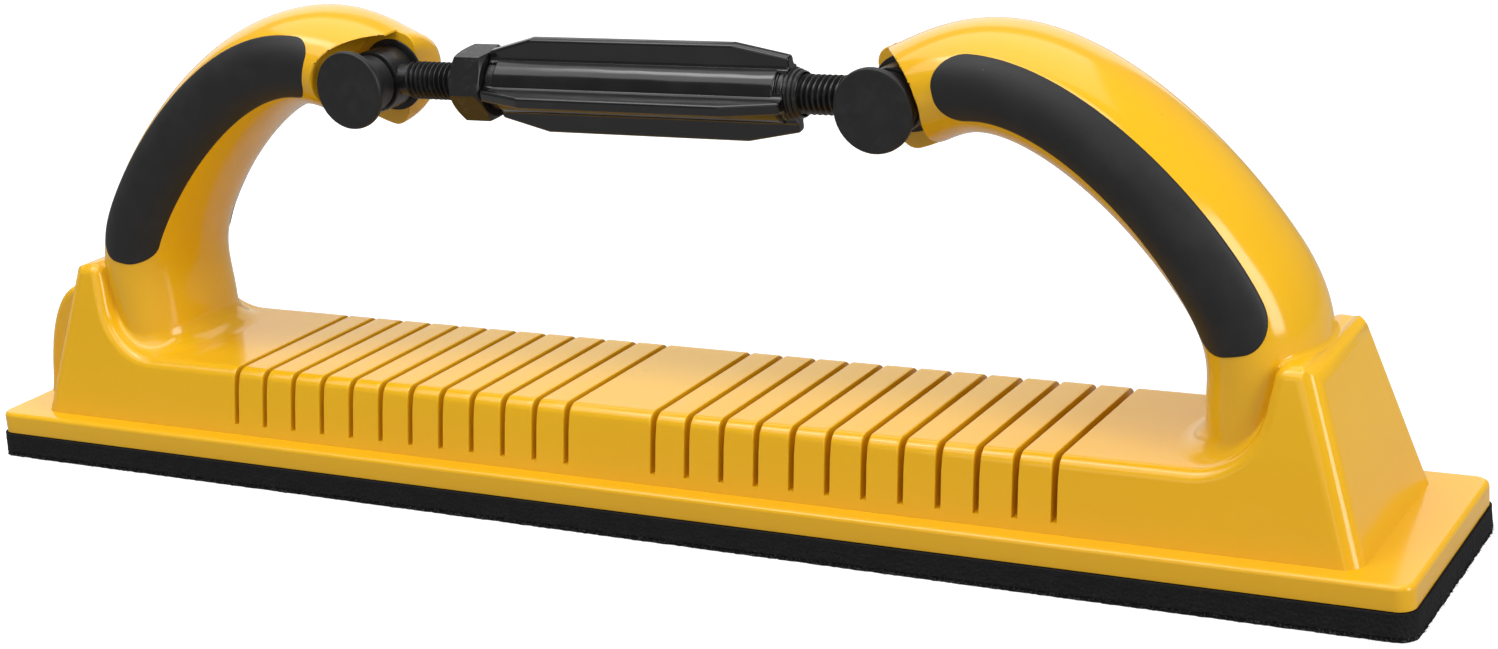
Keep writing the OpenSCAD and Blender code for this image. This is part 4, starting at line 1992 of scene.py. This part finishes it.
@dataclass
class Turnbuckle:
    """Winged grip, sleeve and lock nut."""

    plastic: Coat
    steel: Coat
    wings: int = 4
    wing_thick: float = 3.0
    wing_tip: float = 12.5
    wing_left: float = 9.0
    wing_right: float = 9.6
    slope_left: float = 13.1
    slope_right: float = 14.6
    wing_turn: float = 10.0
    wing_edge: float = 0.8
    wing_end: float = 0.5
    wing_root: float = 1.2
    wing_sunk: float = 1.2
    hub: float = 7.2
    hub_edge: float = 0.6
    hub_step: float = 2.5
    bore: float = 5.2
    groove: float = 0.35
    nose: float = 3.2
    nose_end: float = 5.5
    nose_rings: int = 3
    nut_flat: float = 8.5
    nut_bore: float = 5.0
    nut_turn: float = 8.0
    sides: int = 96

    def _reach(self, x: float, low: float, high: float) -> float:
        """Radius of the wings' tips at a place along the grip.

        Args:
            x: the place.
            low: left end of the wings.
            high: right end of the wings.

        Returns:
            The radius.
        """
        rise = self.wing_tip - self.wing_left
        fall = self.wing_tip - self.wing_right
        left = self.wing_left + rise * (x - low) / self.slope_left
        right = self.wing_right + fall * (high - x) / self.slope_right
        return min(left, right, self.wing_tip)

    def _wing(self, low: float, high: float, turn: float) -> Object:
        """Make one wing, turned about the rod line.

        Args:
            low: its left end.
            high: its right end.
            turn: angle about the rod line.

        Returns:
            The closed wing, rounded at tip, root and ends.
        """
        half, edge, root, end = self.wing_thick / 2.0, self.wing_edge, self.wing_root, self.wing_end
        base = math.sqrt(self.hub**2 - (half + root) ** 2) - 0.1
        ends = [(d, end - math.sqrt(end**2 - (end - d) ** 2)) for d in (0.0, 0.06, 0.2, end)]
        places = [(low + d, less) for d, less in ends]
        for kink in (low + self.slope_left, high - self.slope_right):
            places += [(kink + d, 0.0) for d in (-end, 0.0, end)]
        places += [(high - d, less) for d, less in reversed(ends)]
        rows = []
        for x, less in places:
            tip, thin = self._reach(x, low, high) - less, half - less
            right = [(thin + root, base - self.wing_sunk)]
            right += quarter(thin, base, root, root, 4)
            right += reversed(quarter(thin, tip, -edge, -edge, 4))
            left = [(-y, z) for y, z in reversed(right)]
            rows.append([Vector((x, y, z)) for y, z in right + left])
        wing = loft(rows, "wing")
        wing.data.transform(Matrix.Rotation(turn, 4, "X"))
        return wing

    def _ring(self, profile: Outline, name: str) -> Object:
        """Solid turned from a closed profile about the rod line."""
        return lathe([*profile, profile[0]], ALONG, self.sides, Vector(), name)

    def _lift(self, piece: Object, node: str, x: float = 0.0) -> None:
        """Move a piece from the X axis to the rod line.

        Args:
            piece: the piece.
            node: a node whose middle is on the rod line.
            x: how far the piece also moves along it.
        """
        low, high = node_box(node)
        centre = (low + high) / 2.0
        piece.data.transform(Matrix.Translation((x, centre.y, centre.z)))

    def _grip(self) -> Object:
        """Make the hub with its wings.

        Returns:
            The grip, in millimetres.
        """
        node = "turnbuckle_grip"
        low, high = node_box(node)
        x0, x1 = low.x + self.hub_step, high.x - self.hub_step
        hub, edge = self.hub, self.hub_edge
        profile = [(self.bore, x0), *quarter(hub, x0, -edge, edge, 3)]
        profile += [*reversed(quarter(hub, x1, -edge, -edge, 3)), (self.bore, x1)]
        body = self._ring(profile, "turnbuckle_wings")
        for k in range(self.wings):
            turn = math.radians(90.0 + self.wing_turn + 360.0 * k / self.wings)
            carve(body, self._wing(low.x, high.x, turn), Cut.UNION)
        self._lift(body, node)
        return body

    def _sleeve(self) -> Object:
        """Make the threaded sleeve with its ringed, cone-shaped nose.

        Returns:
            The sleeve, in millimetres.
        """
        node = "turnbuckle_sleeve"
        low, high = node_box(node)
        radius, groove, bore = (high.z - low.z) / 2.0, self.groove, self.bore
        shoulder = high.x - self.nose
        profile = [
            (bore, low.x), (radius - 0.3, low.x), (radius, low.x + 0.3),
            (radius, shoulder - 1.6), (radius - groove, shoulder - 1.45),
            (radius - groove, shoulder - 1.2), (radius, shoulder - 1.05),
            (radius, shoulder - 0.3),
        ]
        for k in range(self.nose_rings):
            for part, sink in ((0.0, groove), (0.25, 0.0), (0.7, 0.0), (0.95, groove)):
                share = (k + part) / self.nose_rings
                slope = radius + (self.nose_end - radius) * share
                profile.append((max(slope - sink, bore + 0.1), shoulder + self.nose * share))
        profile += [(bore + 0.1, high.x), (bore, high.x - 0.1)]
        body = self._ring(profile, "turnbuckle_core")
        self._lift(body, node)
        return body

    def _nut(self) -> Object:
        """Make the chamfered hexagon nut.

        Returns:
            The nut, in millimetres.
        """
        node = "lock_nut"
        low, high = node_box(node)
        tall, flat, bore = high.x - low.x, self.nut_flat, self.nut_bore
        corner = flat / math.cos(math.radians(30.0))
        hexa = bmesh.new()
        bmesh.ops.create_cone(
            hexa, cap_ends=True, segments=6, radius1=corner, radius2=corner, depth=tall
        )
        for degrees, axis in ((self.nut_turn, "Z"), (90.0, "Y")):
            turn = Matrix.Rotation(math.radians(degrees), 3, axis)
            bmesh.ops.rotate(hexa, verts=hexa.verts, cent=(0, 0, 0), matrix=turn)
        bmesh.ops.translate(hexa, verts=hexa.verts, vec=(tall / 2.0, 0, 0))
        nut = draft(hexa, "jam_nut")
        wall = corner + 0.05
        profile = [
            (bore, -0.1), (flat - 0.2, 0.0), (wall, 1.0), (wall, tall - 1.0),
            (flat - 0.2, tall), (bore, tall + 0.1),
        ]
        carve(nut, self._ring(profile, "nut_chamfer"), Cut.INTERSECT)
        self._lift(nut, node, low.x)
        return nut

    def build(self) -> list[Object]:
        """Make the turnbuckle's pieces and fix them to their bodies.

        Returns:
            Grip, sleeve and nut.
        """
        grip, sleeve, nut = self._grip(), self._sleeve(), self._nut()
        mount(grip, self.plastic, "turnbuckle", "turnbuckle_grip")
        mount(sleeve, self.steel, "turnbuckle", "turnbuckle_sleeve")
        mount(nut, self.steel, "nut", "lock_nut")
        return [grip, sleeve, nut]


# ---------------------------------------------------------------------- studio


@dataclass(frozen=True)
class Lamp:
    """One soft rectangular lamp."""

    name: str
    stand: tuple
    aim: tuple
    size: tuple
    power: float
    colour: tuple = (1.0, 1.0, 1.0)

    def build(self) -> None:
        """Hang the lamp and turn it to its aim."""
        data = bpy.data.lights.new(self.name, "AREA")
        data.shape = "RECTANGLE"
        data.size, data.size_y = self.size
        data.energy = self.power
        data.color = self.colour
        lamp = place(self.name, data)
        lamp.location = self.stand
        ahead = Vector(self.aim) - Vector(self.stand)
        lamp.rotation_euler = ahead.to_track_quat("-Z", "Y").to_euler()


@dataclass(frozen=True)
class Studio:
    """Pale floor, soft lamps and the camera."""

    azimuth: float = 30.45
    elevation: float = 17.16
    roll: float = -4.91
    stand: tuple = (0.33809, -0.52935, 0.23544)
    lens: float = 62.32
    sensor: float = 36.0
    near: float = 0.01
    lift: float = 0.86
    floor_half: float = 4.0
    floor_sunk: float = 0.0002
    floor_grey: float = 0.34
    sky: float = 0.24
    backdrop: float = 1.0
    aim: tuple = (0.0, 0.0, 0.06)

    def camera(self) -> None:
        """Set up the camera that looks down along the tool."""
        a, e, r = (math.radians(v) for v in (self.azimuth, self.elevation, self.roll))
        back = Vector((math.sin(a) * math.cos(e), -math.cos(a) * math.cos(e), math.sin(e)))
        right = Vector((math.cos(a), math.sin(a), 0.0))
        up = back.cross(right)
        turned_right = right * math.cos(r) + up * math.sin(r)
        turned_up = up * math.cos(r) - right * math.sin(r)
        data = bpy.data.cameras.new("camera")
        data.lens, data.sensor_width, data.sensor_fit = self.lens, self.sensor, "HORIZONTAL"
        data.clip_start = self.near
        camera = place("camera", data)
        camera.matrix_world = Matrix.Translation(self.stand) @ Matrix(
            (turned_right, turned_up, back)
        ).transposed().to_4x4()
        bpy.context.scene.camera = camera

    def floor(self) -> None:
        """Lay the floor, which looks nearly white but takes a soft contact shadow."""
        bm = bmesh.new()
        bmesh.ops.create_grid(bm, x_segments=1, y_segments=1, size=self.floor_half)
        mesh = bpy.data.meshes.new("floor")
        bm.to_mesh(mesh)
        bm.free()
        floor = place("floor", mesh)
        floor.location.z = -self.floor_sunk
        material = bpy.data.materials.new("floor_pale")
        shader = Shader(material)
        grey = self.floor_grey
        shader.set(Base_Color=(grey, grey, grey, 1.0), Roughness=0.9)
        plain = Wire(shader, shader.tree.nodes["Principled BSDF"].outputs[0])
        glow = shader.node("ShaderNodeEmission", inputs={"Strength": self.lift})
        pale = shader.node("ShaderNodeAddShader", inputs={0: plain, 1: glow})
        shader.show(shader.for_camera(plain, pale))
        mesh.materials.append(material)

    def world(self) -> None:
        """Set up surroundings that light the tool softly and look white."""
        world = bpy.data.worlds.new("world")
        bpy.context.scene.world = world
        shader = Shader(world)
        white = (1.0, 1.0, 1.0, 1.0)
        soft, bright = (
            shader.node("ShaderNodeBackground", inputs={"Color": white, "Strength": strength})
            for strength in (self.sky, self.backdrop)
        )
        shader.show(shader.for_camera(soft, bright))

    def build(self) -> None:
        """Set up camera, floor, surroundings and lamps."""
        bpy.context.scene.view_settings.view_transform = "Standard"
        self.camera()
        self.floor()
        self.world()
        for lamp in (
            Lamp("strip", (0.00, -0.25, 1.05), (0.00, -0.10, 0.06), (1.30, 0.24), 4.6),
            Lamp("key", (-0.25, -0.62, 1.05), self.aim, (1.60, 0.60), 6.4),
            Lamp("top", (-0.20, 0.35, 1.20), self.aim, (1.60, 1.20), 9.0),
            Lamp("fill", (0.10, -1.35, 0.45), self.aim, (1.40, 0.60), 2.2),
            Lamp("right", (1.30, -0.22, 0.55), self.aim, (0.50, 0.90), 9.5),
            Lamp("back", (-1.05, 1.70, 0.60), self.aim, (2.50, 1.10), 7.5),
        ):
            lamp.build()


def log_pieces(name: str, pieces: Iterable[Object]) -> None:
    """Log what a sub-assembly made.

    Args:
        name: name of the sub-assembly.
        pieces: its pieces.
    """
    for piece in pieces:
        LOG.info("%s: %s, %d faces", name, piece.name, len(piece.data.polygons))


def main() -> None:
    """Build every sub-assembly in order and the studio round it."""
    logging.basicConfig(level=logging.INFO, format="%(name)s: %(message)s")
    shell = GlossyShell().build()
    rubber = SoftGrip().build()
    plastic = BlackMoulding().build()
    polished = GlossBlack().build()
    steel = BlackOxide().build()
    foam = CellFoam().build()
    pile = HookPile().build()

    low, high = node_box("base_board")
    curve = HandleCurve(end_wall=high.x - Board.end_flange, deck=DECK)
    board = Board(
        curve, shell, base=low.z, plate_top=low.z + PLATE_THICK,
        half_len=high.x + LONGER, half_wide=high.y,
    )
    log_pieces("board", board.build())
    left_grips = GripOutline(curve, inner=(9.6, 9.3, 9.3, 8.2), round_top=4.6, end=0.829)
    right_grips = GripOutline(curve, inner=(11.2, 5.4, 4.2, 8.4), round_top=7.5)
    sections = {
        "pad": PadStack(foam, pile),
        "left handle": Handle(Side.LEFT, left_grips, shell, rubber, board.ground),
        "right handle": Handle(Side.RIGHT, right_grips, shell, rubber, board.ground),
        "left pivot": Pivot(Side.LEFT, plastic, steel),
        "right pivot": Pivot(Side.RIGHT, plastic, steel),
        "turnbuckle": Turnbuckle(polished, steel),
    }
    for name, section in sections.items():
        log_pieces(name, section.build())
    for node in ("left_pivot_pin", "right_pivot_pin"):
        steel.dress(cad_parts[node])
    Studio().build()


if __name__ == "__main__":
    main()
